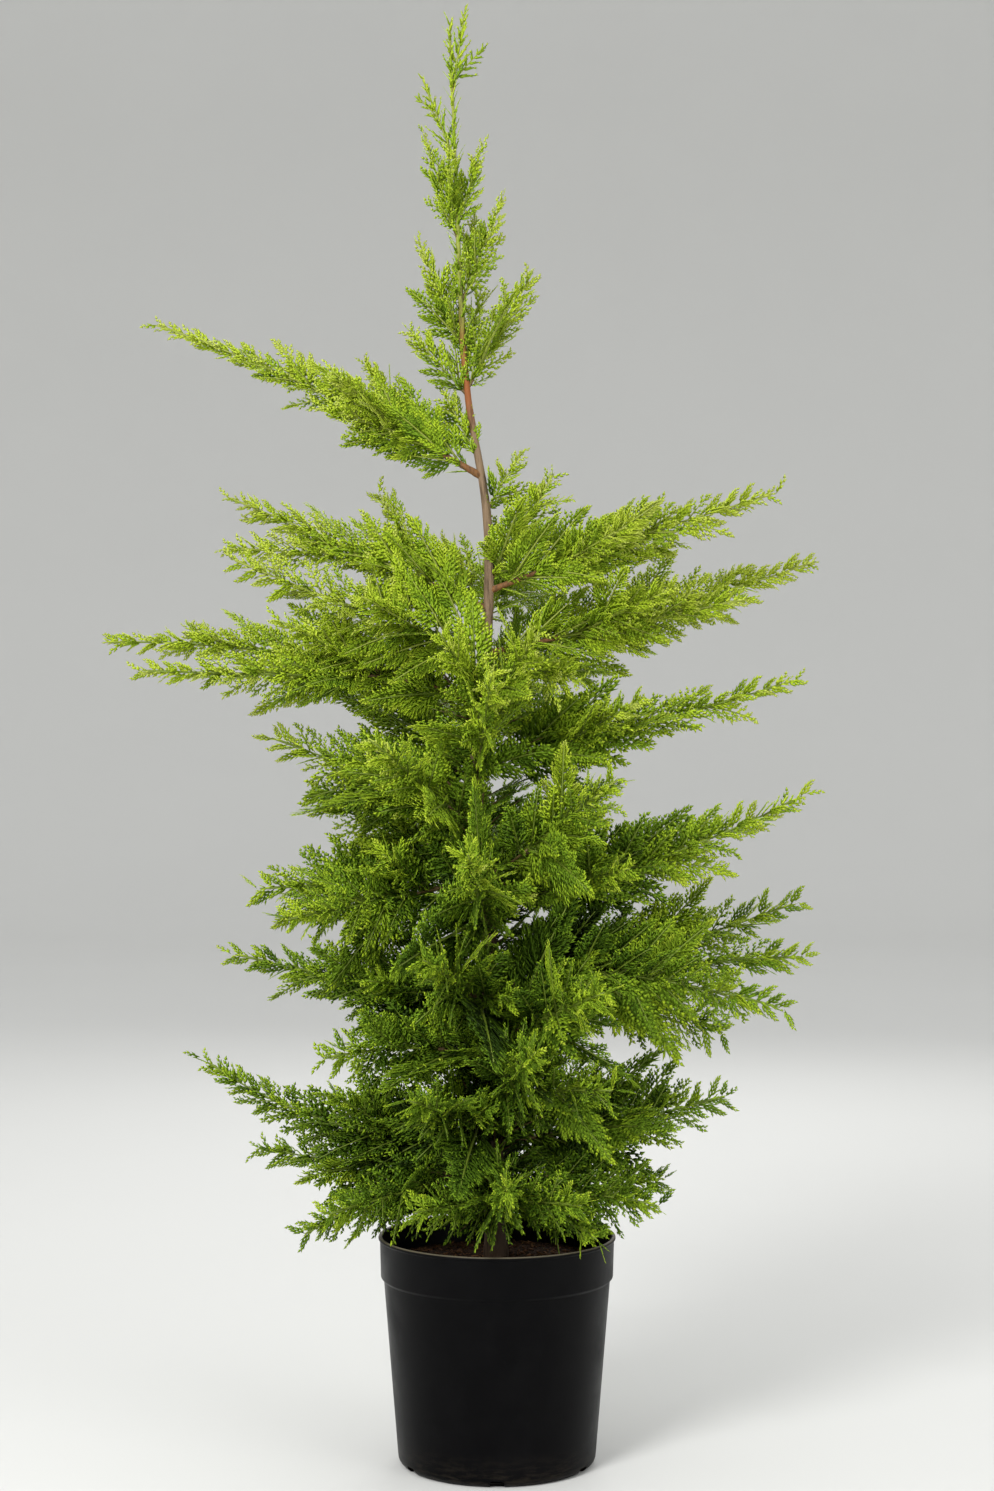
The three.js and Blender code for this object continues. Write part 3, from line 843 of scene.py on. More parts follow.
@dataclass(frozen=True)
class FoliageHabit:
    """How the limbs are clothed: their stems, their sprays, and the fronds of each spray."""

    # The stems, as tubes that turn from brown to green, or to straw high up.
    stem_sunk: float = 0.9
    stem_end: float = 0.97
    stem_points: int = 7
    green_slimmer: float = 0.75
    straw_above: float = 800.0
    young_turn: tuple[float, float] = (0.1, 0.02)
    old_turn: tuple[float, float] = (0.32, 0.16)

    # The twig of a spray, and the fronds along it and at its end.
    twig_end: float = 0.9
    twig_points: int = 4
    twig_radius: float = 0.009
    twig_taper: float = 1.15
    twig_least: float = 0.35
    twig_green_from: float = 0.06
    reach: float = 0.44
    fullness: float = 1.07
    narrowing: float = 1.02
    frond_from: float = 0.08
    frond_run: float = 0.82
    frond_cover: float = 0.86
    frond_pitch: float = 5.1
    frond_place_vary: float = 0.2
    frond_size: tuple[float, float] = (0.85, 1.1)
    fewest_fronds: int = 3
    least_frond: float = 9.0
    open: float = 38.0
    closing: float = 12.0
    open_vary: float = 5.0
    roll_vary: float = 10.0
    lift_vary: float = 0.06
    bend: tuple[float, float] = (-0.16, 0.06)
    ending: float = 0.36
    ending_tone: float = 0.3

    # The kinds of frond.
    single_under: float = 34.0
    broad_inside: float = 0.5
    broad_below: float = 760.0
    slender_outside: float = 0.86
    slender_under: float = 37.0

    # The finer sprays between those that the solid has.
    fill_pitch: float = 6.8
    fill_closest: float = 0.66
    fill_full_spray: float = 76.0
    skirt_below: float = 420.0
    skirt_closer: float = 0.8
    fill_fewest: int = 2
    fill_from: float = 0.36
    fill_place: tuple[float, float] = (0.1, 0.9)
    fill_flat: float = 0.45
    fill_size: tuple[float, float] = (0.8, 1.15)
    fill_share: float = 0.64
    fill_most: float = 96.0
    fill_most_share: float = 0.36
    fill_outer: float = 0.78
    fill_open_vary: float = 12.0
    fill_roll_vary: float = 20.0
    fill_twist_vary: float = 40.0

    # The short sprays close round a stem.
    hug_pitch: float = 6.4
    hug_least_pitch: float = 4.0
    hug_full_spray: float = 80.0
    hug_from: float = 0.16
    hug_to: float = 0.88
    hug_place: tuple[float, float] = (0.0, 0.6)
    hug_open: float = 33.0
    hug_open_vary: float = 8.0
    hug_foot: float = 0.4
    hug_tip: float = 0.24
    hug_size: tuple[float, float] = (0.8, 1.2)
    hug_most: float = 34.0
    hug_outer: float = 0.9

    # The old sprays on the trunk, deep in the crown, dark partly as painted shade.
    heart_from: float = 250.0
    heart_to: float = 800.0
    heart_pitch: float = 3.3
    heart_crowding: float = 1.25
    heart_low: float = 60.0
    heart_low_open: float = 34.0
    heart_foot: float = 92.0
    heart_top: float = 64.0
    heart_size: tuple[float, float] = (0.8, 1.2)
    heart_open: float = 52.0
    heart_open_vary: float = 18.0
    heart_bare_above: float = 560.0
    heart_bare_side: float = -0.8
    heart_roll: float = 50.0
    heart_tone: float = 0.5

    # The short fronds round the thin top of the trunk.
    leader_from: float = 1150.0
    leader_pitch: float = 3.6
    leader_foot: float = 30.0
    leader_tip: float = 17.0
    leader_open: float = 26.0
    leader_stretch: float = 20.0
    leader_tone: float = 2.6
    leader_tip_tone: float = 1.6
    trunk_turn_vary: float = 15.0
    trunk_tone_vary: float = 0.5

    # The tones, counted from the darkest green. Inner and low sprays are darker partly as painted shade, and
    # high ones lighter partly as painted light.
    inner_tone: float = 0.3
    outer_tones: float = 2.9
    spray_tone_vary: float = 0.55
    frond_tone_vary: float = 0.2
    young_step: float = 1.25
    light_from: float = 320.0
    light_to: float = 960.0
    light_tones: float = 2.5

    # The room that is kept free, and where along a frond that is tested.
    pot_clear: float = 3.0
    box_clear: float = 2.0
    tested_at: tuple[float, ...] = (0.3, 0.65, 1.0)


@dataclass
class Foliage:
    """The fronds and twigs of some of the limbs, gathered and then made into two joined meshes."""

    patterns: FrondPatterns
    trunk: TrunkLine
    pot_radius: float
    pot_top: float
    habit: FoliageHabit = FoliageHabit()
    rows: list[FrondRow] = field(default_factory=list)
    tubes: list[Tube] = field(default_factory=list)
    limbs: list[Limb] = field(default_factory=list)

    def __post_init__(self) -> None:
        """Works out the box that the fronds keep to."""
        self.least = np.array(cad_box[0]) / MM - self.habit.box_clear
        self.most = np.array(cad_box[1]) / MM + self.habit.box_clear

    def triangles(self) -> int:
        """How many triangles the gathered fronds have."""
        return sum(len(SHOOT.faces) * len(self.patterns.shoots[row.pattern][0]) for row in self.rows)

    def take_in(self, other: "Foliage") -> None:
        """Adds what another has gathered.

        Args:
            other: whose fronds, twigs and limbs are added.
        """
        self.rows += other.rows
        self.tubes += other.tubes
        self.limbs += other.limbs

    def clothe(self, limb: Limb, seed: int) -> None:
        """Gathers the twigs and fronds of one limb.

        Args:
            limb: a limb that has been grown.
            seed: of its finer growth.
        """
        self.limbs.append(limb)
        draw = np.random.default_rng(seed)
        for stem in limb.stems:
            self._stem_tubes(stem)
            for spray in (*self._fill(limb, stem, draw), *self._hug(limb, stem, draw)):
                self._clothe_spray(spray, limb, draw)
        for spray in limb.sprays:
            self._clothe_spray(spray, limb, draw)

    def _stem_tubes(self, stem: Stem) -> None:
        """Gathers a stem as a brown tube and a green one, or a straw-coloured one high up.

        Args:
            stem: one of a limb's stems.
        """
        habit = self.habit
        young = stem.foot[2] > habit.straw_above
        turn = (habit.young_turn if young else habit.old_turn)[0 if stem.start == 0 else 1]
        for begin, end, rind in ((stem.origin * habit.stem_sunk, turn, Rind.BROWN),
                                 (turn, habit.stem_end, Rind.STRAW if young else Rind.GREEN)):
            shares = np.linspace(begin, end, habit.stem_points)
            points = np.array([stem.at(share) for share in shares])
            slimmer = 1.0 if rind is Rind.BROWN else habit.green_slimmer
            radii = [max(stem.tip_radius, stem.radius(share) * slimmer) for share in shares]
            self.tubes.append(Tube(points, radii, rind))

    def _fill(self, limb: Limb, stem: Stem, draw: Random) -> Iterator[Spray]:
        """Sets finer sprays between those of the solid, by the same rule at a closer pitch.

        Args:
            limb: whose stem it is.
            stem: that they stand on.
            draw: the limb's random numbers.

        Returns:
            Each spray in turn.
        """
        habit = self.habit
        begin = stem.bare * habit.fill_from
        run = (1 - begin) * stem.length()
        pitch = habit.fill_pitch * min(1.0, max(habit.fill_closest, limb.spray / habit.fill_full_spray))
        if limb.z < habit.skirt_below:
            pitch *= habit.skirt_closer
        count = max(habit.fill_fewest, int(run / pitch))
        roll = draw.uniform(0, 360)
        for k in range(count):
            share = begin + (1 - begin) * (k + draw.uniform(*habit.fill_place)) / count
            roll += GOLDEN_TURN + draw.uniform(-habit.fill_roll_vary, habit.fill_roll_vary)
            left = (1 - stem.start) * (1 - share)
            size = limb.spray * draw.uniform(*habit.fill_size) * habit.fill_share
            size *= SPRAYS.outer + (SPRAYS.inner - SPRAYS.outer) * left**SPRAYS.taper
            size = min(size, habit.fill_most, habit.fill_most_share * stem.length())
            ahead, side, upper = stem.axes(share)
            opened = limb.open + draw.uniform(-habit.fill_open_vary, habit.fill_open_vary)
            opened, turn = math.radians(opened), math.radians(roll)
            out = unit(side * math.cos(turn) * habit.fill_flat + upper * math.sin(turn))
            along = unit(leaned(ahead, out, opened) + UP * SPRAYS.lift)
            twist = draw.uniform(-habit.fill_twist_vary, habit.fill_twist_vary)
            wide = turned(squared(ahead - out * SPRAYS.lean_back, along), along, math.radians(twist))
            yield Spray(stem.at(share), along, wide, size, (1 - left) * habit.fill_outer)

    def _hug(self, limb: Limb, stem: Stem, draw: Random) -> Iterator[Spray]:
        """Sets short sprays close along a stem on every side, which hide it.

        Args:
            limb: whose stem it is.
            stem: that they stand on.
            draw: the limb's random numbers.

        Returns:
            Each spray in turn.
        """
        habit = self.habit
        begin = stem.bare * habit.hug_from
        run = habit.hug_to - begin
        pitch = max(habit.hug_least_pitch, habit.hug_pitch * min(1.0, limb.spray / habit.hug_full_spray))
        count = max(1, round(run * stem.length() / pitch))
        roll = draw.uniform(0, 2 * math.pi)
        for k in range(count):
            share = begin + run * (k + draw.uniform(*habit.hug_place)) / count
            roll += math.radians(GOLDEN_TURN)
            size = limb.spray * (habit.hug_foot + (habit.hug_tip - habit.hug_foot) * share)
            size = min(size * draw.uniform(*habit.hug_size), habit.hug_most)
            ahead, side, upper = stem.axes(share)
            out = leaned(side, upper, roll)
            opened = math.radians(habit.hug_open + draw.uniform(-1, 1) * habit.hug_open_vary)
            outer = 1 - (1 - stem.start) * (1 - share)
            yield Spray(stem.at(share), unit(leaned(ahead, out, opened)), np.cross(ahead, out), size,
                        outer * habit.hug_outer)

    def clothe_heart(self, seed: int) -> None:
        """Gathers the old dark sprays that stand on the trunk between the limbs, deep in the crown; their
        darkness is partly painted shade.

        Args:
            seed: of their random numbers.
        """
        habit, draw = self.habit, np.random.default_rng(seed)
        count = round((habit.heart_to - habit.heart_from) / habit.heart_pitch)
        roll = 0.0
        for k in range(count):
            share = (k / count) ** habit.heart_crowding
            z = habit.heart_from + (habit.heart_to - habit.heart_from) * share
            roll += self._trunk_turn(draw)
            low = max(0.0, 1 - (z - habit.heart_from) / habit.heart_low)
            if z > habit.heart_bare_above and math.sin(roll) < habit.heart_bare_side:
                continue
            opened = habit.heart_open + draw.uniform(-1, 1) * habit.heart_open_vary
            opened = math.radians(opened + habit.heart_low_open * low)
            out = level(roll)
            along = unit(leaned(UP, out, opened))
            size = habit.heart_foot + (habit.heart_top - habit.heart_foot) * share
            size *= draw.uniform(*habit.heart_size)
            wide = turned(np.cross(UP, out), along, math.radians(draw.uniform(-1, 1) * habit.heart_roll))
            spray = Spray(self.trunk.at(z), along, wide, size, 0.0)
            # Painted shade: these inner sprays get no lift from being outer, so they take dark greens.
            tone = self._height_tone(z) + habit.heart_tone + draw.normal(0, habit.trunk_tone_vary)
            self._clothe_twig(spray, FrondKind.BROAD, tone, draw)

    def clothe_leader(self, seed: int) -> None:
        """Gathers the short fronds that lie close round the trunk's thin top.

        Args:
            seed: of their random numbers.
        """
        habit, draw = self.habit, np.random.default_rng(seed)
        top = self.trunk.top
        count = round((top - habit.leader_from) / habit.leader_pitch)
        roll = 0.0
        for k in range(count):
            share = k / count
            z = habit.leader_from + (top - habit.leader_from) * share
            roll += self._trunk_turn(draw)
            end = min(top, z + habit.leader_stretch)
            ahead = unit(self.trunk.at(end) - self.trunk.at(end - habit.leader_stretch))
            side = squared(level(roll), ahead)
            opened = math.radians(habit.leader_open + draw.uniform(-1, 1) * habit.hug_open_vary)
            size = habit.leader_foot + (habit.leader_tip - habit.leader_foot) * share
            tone = habit.leader_tone + habit.leader_tip_tone * share
            tone += draw.normal(0, habit.trunk_tone_vary)
            self._add(FrondKind.SLENDER, self.trunk.at(z), unit(leaned(ahead, side, opened)),
                      np.cross(ahead, side), size, tone, draw)

    def _trunk_turn(self, draw: Random) -> float:
        """The turn from one shoot on the trunk to the next, in radians."""
        most = self.habit.trunk_turn_vary
        return math.radians(GOLDEN_TURN + draw.uniform(-most, most))

    def _clothe_spray(self, spray: Spray, limb: Limb, draw: Random) -> None:
        """Gathers one spray's twig and its fronds, or the single frond that a small one is.

        Args:
            spray: what is clothed.
            limb: whose spray it is.
            draw: the limb's random numbers.
        """
        tone, kind = self._tone(spray, draw), self._kind(spray, limb)
        if spray.length < self.habit.single_under:
            self._add(kind, spray.root, spray.along, spray.wide, spray.length, tone, draw)
        else:
            self._clothe_twig(spray, kind, tone, draw)

    def _clothe_twig(self, spray: Spray, kind: FrondKind, tone: float, draw: Random) -> None:
        """Gathers a spray's twig and the fronds along its two sides and at its end.

        Args:
            spray: what is clothed.
            kind: of its fronds.
            tone: of its fronds.
            draw: the random numbers.
        """
        habit, length = self.habit, spray.length
        shares = np.linspace(0, habit.twig_end, habit.twig_points)
        points = np.array([self._on_spray(spray, share) for share in shares])
        radii = [length * habit.twig_radius * (habit.twig_taper - share) + habit.twig_least
                 for share in shares]
        rind = Rind.GREEN if spray.outer > habit.twig_green_from else Rind.BROWN
        self.tubes.append(Tube(points, radii, Rind.STRAW if spray.root[2] > habit.straw_above else rind))
        count = max(habit.fewest_fronds, round(habit.frond_cover * length / habit.frond_pitch))
        face = np.cross(spray.along, spray.wide)
        for k in range(count):
            place = k + draw.uniform(-habit.frond_place_vary, habit.frond_place_vary)
            share = habit.frond_from + habit.frond_run * place / count
            side = 1 if k % 2 else -1
            size = length * habit.reach * (habit.fullness - habit.narrowing * share)
            size *= draw.uniform(*habit.frond_size)
            angle = habit.open - habit.closing * share + draw.uniform(-1, 1) * habit.open_vary
            angle = math.radians(angle)
            lift = habit.lift_vary * draw.uniform(-1, 1)
            along = unit(leaned(spray.along, spray.wide * side, angle) + face * lift)
            wide = squared(leaned(spray.wide, -side * spray.along, angle), along)
            wide = turned(wide, along, math.radians(draw.uniform(-1, 1) * habit.roll_vary))
            self._add(kind, self._on_spray(spray, share), along, wide, size, tone, draw)
        begin = self._on_spray(spray, 1 - habit.ending)
        self._add(FrondKind.SLENDER if spray.ending else kind, begin,
                  unit(self._on_spray(spray, 1) - begin), spray.wide, length * habit.ending,
                  tone + habit.ending_tone, draw)

    def _on_spray(self, spray: Spray, share: float) -> Array:
        """The point at a share of the way along a spray's drooping twig."""
        return spray.root + spray.length * (spray.along * share - UP * SPRAYS.droop * share**2)

    def _kind(self, spray: Spray, limb: Limb) -> FrondKind:
        """Chooses the kind of frond for a spray.

        Args:
            spray: that carries the fronds.
            limb: whose spray it is.

        Returns:
            The kind: slender at tips, broad low down and deep inside.
        """
        habit = self.habit
        if limb.spray < habit.slender_under or spray.outer > habit.slender_outside:
            return FrondKind.SLENDER
        inside = limb.z < habit.broad_below and spray.outer < habit.broad_inside
        return FrondKind.BROAD if inside else FrondKind.FINE

    def _tone(self, spray: Spray, draw: Random) -> float:
        """A spray's tone: lighter towards the tips and the top of the plant; the dark inside is partly
        painted shade and the light top partly painted light.
        """
        # Painted shade and light, besides the growth's own colour: inner sprays get darker greens, outer and
        # high ones lighter greens.
        tone = self.habit.inner_tone + self.habit.outer_tones * spray.outer
        return tone + self._height_tone(spray.root[2]) + draw.normal(0, self.habit.spray_tone_vary)

    def _height_tone(self, z: float) -> float:
        """How many tones lighter the foliage is at a height than at the foot of the crown, partly as painted
        light on the upper crown.

        Args:
            z: the height.

        Returns:
            The number of tones, with its fraction.
        """
        habit = self.habit
        share = min(1.0, max(0.0, (z - habit.light_from) / (habit.light_to - habit.light_from)))
        return habit.light_tones * share * share * (3 - 2 * share)

    def _add(self, kind: FrondKind, root: Array, along: Array, wide: Array,
             length: float, tone: float, draw: Random) -> None:
        """Gathers one frond, unless it would reach into the pot or past the solids' own box.

        Args:
            kind: of frond.
            root: where it starts.
            along: its unit direction.
            wide: a direction in its flat.
            length: wanted; a very short frond is lengthened.
            tone: of its spray.
            draw: the random numbers.
        """
        habit = self.habit
        length = max(length, habit.least_frond)
        wide = squared(wide, along)
        for share in habit.tested_at:
            x, y, z = root + along * length * share
            if (z < self.pot_top + habit.pot_clear
                    and math.hypot(x, y) < self.pot_radius + habit.pot_clear):
                return
        end = root + along * length
        if (end < self.least).any() or (end > self.most).any():
            return
        pattern, scale = self.patterns.pick(kind, length, int(draw.integers(COPY_DRAWS)))
        bend = draw.uniform(*habit.bend) * length
        axes = np.array([along, wide, np.cross(along, wide)])
        tone += draw.normal(0, habit.frond_tone_vary)
        self.rows.append(FrondRow(pattern, scale, root, axes, bend, tone))

    def leaf_arrays(self) -> tuple[Array, Array]:
        """Lays every gathered frond out as shoots.

        Returns:
            The corners of each shoot in metres, and the number of its tone.
        """
        corners, tones = [], []
        by_pattern: dict[int, list[FrondRow]] = {}
        for row in self.rows:
            by_pattern.setdefault(row.pattern, []).append(row)
        for pattern, rows in sorted(by_pattern.items()):
            shoots, young = self.patterns.shoots[pattern]
            rib = shoots[..., 0].max()
            scale = np.array([row.scale for row in rows])[:, None, None, None]
            axes = np.array([row.axes for row in rows])
            placed = np.einsum("sck,rkx->rscx", shoots, axes) * scale
            placed += np.array([row.root for row in rows])[:, None, None, :]
            bend = np.array([row.bend for row in rows])[:, None, None]
            placed[..., 2] += bend * (shoots[None, ..., 0] / rib) ** 2
            tone = np.array([row.tone for row in rows])[:, None] + young[None, :] * self.habit.young_step
            corners.append(placed.reshape(-1, 4, 3) * MM)
            tones.append(np.clip(np.rint(tone), 0, len(Tone) - 1).astype(int).ravel())
        return np.concatenate(corners), np.concatenate(tones)


# ---- Shaders ----


def colour(red: int, green: int, blue: int) -> Colour:
    """Turns a screen colour into a shader's linear colour.

    Args:
        red: from 0 to 255, as are the others.
        green: the second part.
        blue: the third part.

    Returns:
        The linear colour, opaque.
    """
    parts = [part / 255 for part in (red, green, blue)]
    linear = [part / 12.92 if part < 0.04045 else ((part + 0.055) / 1.055) ** 2.4 for part in parts]
    return (*linear, 1.0)


@dataclass(frozen=True)
class Number:
    """A number socket of a material's nodes, wrapped so that sums can be written with it."""

    graph: "Graph"
    socket: NodeSocket

    def _math(self, operation: str, first: "Number | float", second: "Number | float") -> "Number":
        """Adds one Math node and wraps its result."""
        node = self.graph.node("ShaderNodeMath", {"operation": operation}, {0: first, 1: second})
        return Number(self.graph, node.outputs[0])

    def __add__(self, other: "Number | float") -> "Number":
        """The sum of two numbers."""
        return self._math("ADD", self, other)

    __radd__ = __add__

    def __mul__(self, other: "Number | float") -> "Number":
        """The product of two numbers."""
        return self._math("MULTIPLY", self, other)

    __rmul__ = __mul__

    def __sub__(self, other: "Number | float") -> "Number":
        """This number less another."""
        return self._math("SUBTRACT", self, other)

    def __rsub__(self, other: float) -> "Number":
        """Another number less this one."""
        return self._math("SUBTRACT", other, self)

    def ramp(self, low: float, high: float) -> "Number":
        """Stretches this number from 0 to 1, and holds it there.

        Args:
            low: what becomes 0.
            high: what becomes 1.

        Returns:
            The stretched number.
        """
        node = self.graph.node("ShaderNodeMapRange", {"clamp": True},
                               {"Value": self, "From Min": low, "From Max": high})
        return Number(self.graph, node.outputs["Result"])


class Graph:
    """The nodes of one material, built round a Principled shader."""

    def __init__(self, name: str) -> None:
        """Makes an empty material with its shader and output.

        Args:
            name: of the material.
        """
        self.material = bpy.data.materials.new(name)
        self.material.use_nodes = True
        self.tree = self.material.node_tree
        self.shader = self.tree.nodes["Principled BSDF"]
        self.place = self.node("ShaderNodeTexCoord", {}, {}).outputs["Object"]

    def node(self, kind: str, settings: dict[str, object], sockets: dict[object, object]) -> Node:
        """Adds one node.

        Args:
            kind: its type.
            settings: its properties, which are set first.
            sockets: values or links of its inputs, by name or number.

        Returns:
            The node.
        """
        node = self.tree.nodes.new(kind)
        for key, value in settings.items():
            setattr(node, key, value)
        for key, value in sockets.items():
            self.feed(node.inputs[key], value)
        return node

    def feed(self, socket: NodeSocket, value: object) -> None:
        """Feeds one input.

        Args:
            socket: the input.
            value: that it is set to, or the socket or wrapped number that it is linked to.
        """
        if isinstance(value, Number):
            value = value.socket
        if isinstance(value, NodeSocket):
            self.tree.links.new(value, socket)
        else:
            socket.default_value = value

    def noise(self, size: float, detail: float = 4.0, stretch: tuple[float, float, float] = (1, 1, 1),
              rough: float = 0.55) -> Number:
        """A cloudy pattern.

        Args:
            size: of its blots, in metres.
            detail: how many finer layers it has.
            stretch: how much longer the blots are along each axis.
            rough: how strong the finer layers are.

        Returns:
            A number about 0.5 that varies over the surface.
        """
        scale = tuple(1 / part for part in stretch)
        mapping = self.node("ShaderNodeMapping", {}, {"Vector": self.place, "Scale": scale})
        node = self.node("ShaderNodeTexNoise", {}, {"Vector": mapping.outputs[0], "Scale": 1 / size,
                                                    "Detail": detail, "Roughness": rough})
        return Number(self, node.outputs[0])

    def height(self) -> Number:
        """The height of the surface, in metres."""
        return Number(self, self.node("ShaderNodeSeparateXYZ", {}, {0: self.place}).outputs["Z"])

    def mix(self, share: Number, first: object, second: object) -> NodeSocket:
        """A colour between two others by a number from 0 to 1."""
        node = self.node("ShaderNodeMix", {"data_type": "RGBA"}, {0: share, 6: first, 7: second})
        return node.outputs[2]

    def bump(self, height: Number, distance: float, strength: float = 1.0) -> None:
        """Feeds the shader's normal from a pattern of bumps.

        Args:
            height: the pattern.
            distance: from its lows to its highs, in metres.
            strength: from 0 to 1.
        """
        node = self.node("ShaderNodeBump", {}, {"Height": height, "Distance": distance,
                                                "Strength": strength})
        self.feed(self.shader.inputs["Normal"], node.outputs[0])

    def dress(self, **inputs: object) -> Material:
        """Feeds the shader's inputs.

        Args:
            inputs: each value, under its input's name with _ for a space.

        Returns:
            The finished material.
        """
        for name, value in inputs.items():
            self.feed(self.shader.inputs[name.replace("_", " ")], value)
        return self.material


@dataclass(frozen=True)
class LeafFinish:
    """One plain green of the scale leaves, dealt out by spray."""

    tone: Tone
    colour: Colour
    roughness: float = 0.6
    specular: float = 0.14

    def material(self) -> Material:
        """Makes the material."""
        graph = Graph(f"leaf_{self.tone.name.lower()}")
        return graph.dress(Base_Color=self.colour, Roughness=self.roughness,
                           Specular_IOR_Level=self.specular)


LEAF_FINISHES = (
    LeafFinish(Tone.DEEP, colour(46, 68, 12)),
    LeafFinish(Tone.DARK, colour(80, 110, 20)),
    LeafFinish(Tone.MIDDLE, colour(114, 146, 32)),
    LeafFinish(Tone.FRESH, colour(146, 176, 40)),
    LeafFinish(Tone.BRIGHT, colour(170, 196, 44)),
    LeafFinish(Tone.LIME, colour(190, 210, 62), 0.55),
    LeafFinish(Tone.PALE, colour(194, 208, 88), 0.55),
)


@dataclass(frozen=True)
class TwigFinish:
    """The plain rind of a thin twig."""

    name: str
    colour: Colour
    roughness: float = 0.7

    def material(self) -> Material:
        """Makes the material."""
        return Graph(self.name).dress(Base_Color=self.colour, Roughness=self.roughness)


TWIG_BROWN = TwigFinish("twig_brown", colour(100, 80, 46))
TWIG_GREEN = TwigFinish("twig_green", colour(106, 124, 32), 0.6)
TWIG_STRAW = TwigFinish("twig_straw", colour(138, 150, 54), 0.6)


@dataclass(frozen=True)
class BarkFinish:
    """Young bark, finely furrowed: older wood low down, then paler wood, red-brown and green."""

    name: str
    old: Colour
    pale: Colour
    red: Colour = colour(138, 80, 38)
    shoot: Colour = colour(142, 150, 64)
    furrow: Colour = colour(62, 50, 38)
    pale_heights: tuple[float, float] = (0.5, 0.86)
    red_heights: tuple[float, float] = (1.03, 1.08)
    shoot_heights: tuple[float, float] = (1.11, 1.17)
    streak: float = 0.004
    streak_long: float = 9.0
    patch: float = 0.03
    patch_long: float = 2.5
    patch_rise: float = 0.12
    line_levels: tuple[float, float] = (0.52, 0.36)
    line_strength: float = 0.75
    relief: float = 0.0012
    smooth: float = 0.62
    line_rough: float = 0.3
    specular: float = 0.3

    def material(self) -> Material:
        """Makes the material.

        Returns:
            The material.
        """
        graph = Graph(self.name)
        streaks = graph.noise(self.streak, 6, (1, 1, self.streak_long), 0.65)
        patches = graph.noise(self.patch, 3, (1, 1, self.patch_long))
        height = graph.height() + (patches - 0.5) * self.patch_rise
        wood = graph.mix(height.ramp(*self.pale_heights), self.old, self.pale)
        wood = graph.mix(height.ramp(*self.red_heights), wood, self.red)
        wood = graph.mix(height.ramp(*self.shoot_heights), wood, self.shoot)
        lines = streaks.ramp(*self.line_levels)
        wood = graph.mix(lines * self.line_strength, wood, self.furrow)
        graph.bump(streaks, self.relief)
        return graph.dress(Base_Color=wood, Roughness=self.smooth + lines * self.line_rough,
                           Specular_IOR_Level=self.specular)


TRUNK_BARK = BarkFinish("bark_trunk", colour(88, 70, 54), colour(126, 104, 80))
BOUGH_BARK = BarkFinish("bark_boughs", colour(92, 66, 42), colour(118, 80, 44))


@dataclass(frozen=True)
class PotFinish:
    """Black moulded polypropylene, satin, with a faint bloom, a little dust near its foot, and a painted
    highlight along the top of its lip.
    """

    name: str = "pot_plastic"
    black: Colour = colour(3, 3, 4)
    bloom: Colour = colour(9, 9, 10)
    dust: Colour = colour(58, 51, 42)
    dust_top: float = 0.035
    # The pale colour below is a painted highlight on the top of the lip, where it catches the light; it is
    # not wear.
    painted_lip_highlight: Colour = colour(116, 108, 90)
    painted_lip_highlight_heights: tuple[float, float] = (0.2278, 0.2288)
    cloud: float = 0.035
    grain: float = 0.0016
    scuff: float = 0.006
    scuff_long: tuple[float, float, float] = (3, 3, 0.6)
    bloom_levels: tuple[float, float] = (0.42, 0.75)
    bloom_share: float = 0.7
    dust_levels: tuple[float, float] = (0.45, 0.7)
    dust_share: float = 0.6
    dust_wander: float = 0.03
    painted_lip_highlight_share: float = 0.8
    relief: float = 0.0002
    smooth: float = 0.34
    cloud_levels: tuple[float, float] = (0.35, 0.7)
    cloud_rough: float = 0.14
    scuff_levels: tuple[float, float] = (0.6, 0.8)
    scuff_rough: float = 0.12
    specular: float = 0.07

    def material(self) -> Material:
        """Makes the material.

        Returns:
            The material.
        """
        graph = Graph(self.name)
        clouds = graph.noise(self.cloud, 5)
        grain = graph.noise(self.grain, 3)
        scuffs = graph.noise(self.scuff, 6, self.scuff_long, 0.7)
        shade = graph.mix(clouds.ramp(*self.bloom_levels) * self.bloom_share, self.black, self.bloom)
        low = (graph.height() + (scuffs - 0.5) * self.dust_wander).ramp(self.dust_top, 0.0)
        shade = graph.mix(low * scuffs.ramp(*self.dust_levels) * self.dust_share, shade, self.dust)
        # Painted highlight: the top of the lip is mixed towards a pale colour.
        shade = graph.mix(graph.height().ramp(*self.painted_lip_highlight_heights) * self.painted_lip_highlight_share, shade, self.painted_lip_highlight)
        graph.bump(grain, self.relief, 0.5)
        rough = self.smooth + clouds.ramp(*self.cloud_levels) * self.cloud_rough
        rough = rough + scuffs.ramp(*self.scuff_levels) * self.scuff_rough
        return graph.dress(Base_Color=shade, Roughness=rough, Specular_IOR_Level=self.specular)


@dataclass(frozen=True)
class SoilFinish:
    """Dark peat compost, or one of the bits of bark and fibre lying in it."""

    name: str
    dark: Colour
    light: Colour
    grain: float = 0.004
    clod_grains: float = 6.0
    crumb_share: float = 0.6
    levels: tuple[float, float] = (0.4, 0.66)
    relief: float = 0.003
    roughness: float = 0.95
    specular: float = 0.15

    def material(self) -> Material:
        """Makes the material.

        Returns:
            The material.
        """
        graph = Graph(self.name)
        crumbs = graph.noise(self.grain, 6, rough=0.7)
        clods = graph.noise(self.grain * self.clod_grains, 3)
        mixed = crumbs * self.crumb_share + clods * (1 - self.crumb_share)
        shade = graph.mix(mixed.ramp(*self.levels), self.dark, self.light)
        graph.bump(crumbs, self.relief)
        return graph.dress(Base_Color=shade, Roughness=self.roughness, Specular_IOR_Level=self.specular)


COMPOST = SoilFinish("compost", colour(32, 22, 16), colour(84, 58, 40))
CHIP_BARK = SoilFinish("bark_chips", colour(70, 44, 28), colour(138, 98, 64), 0.006)


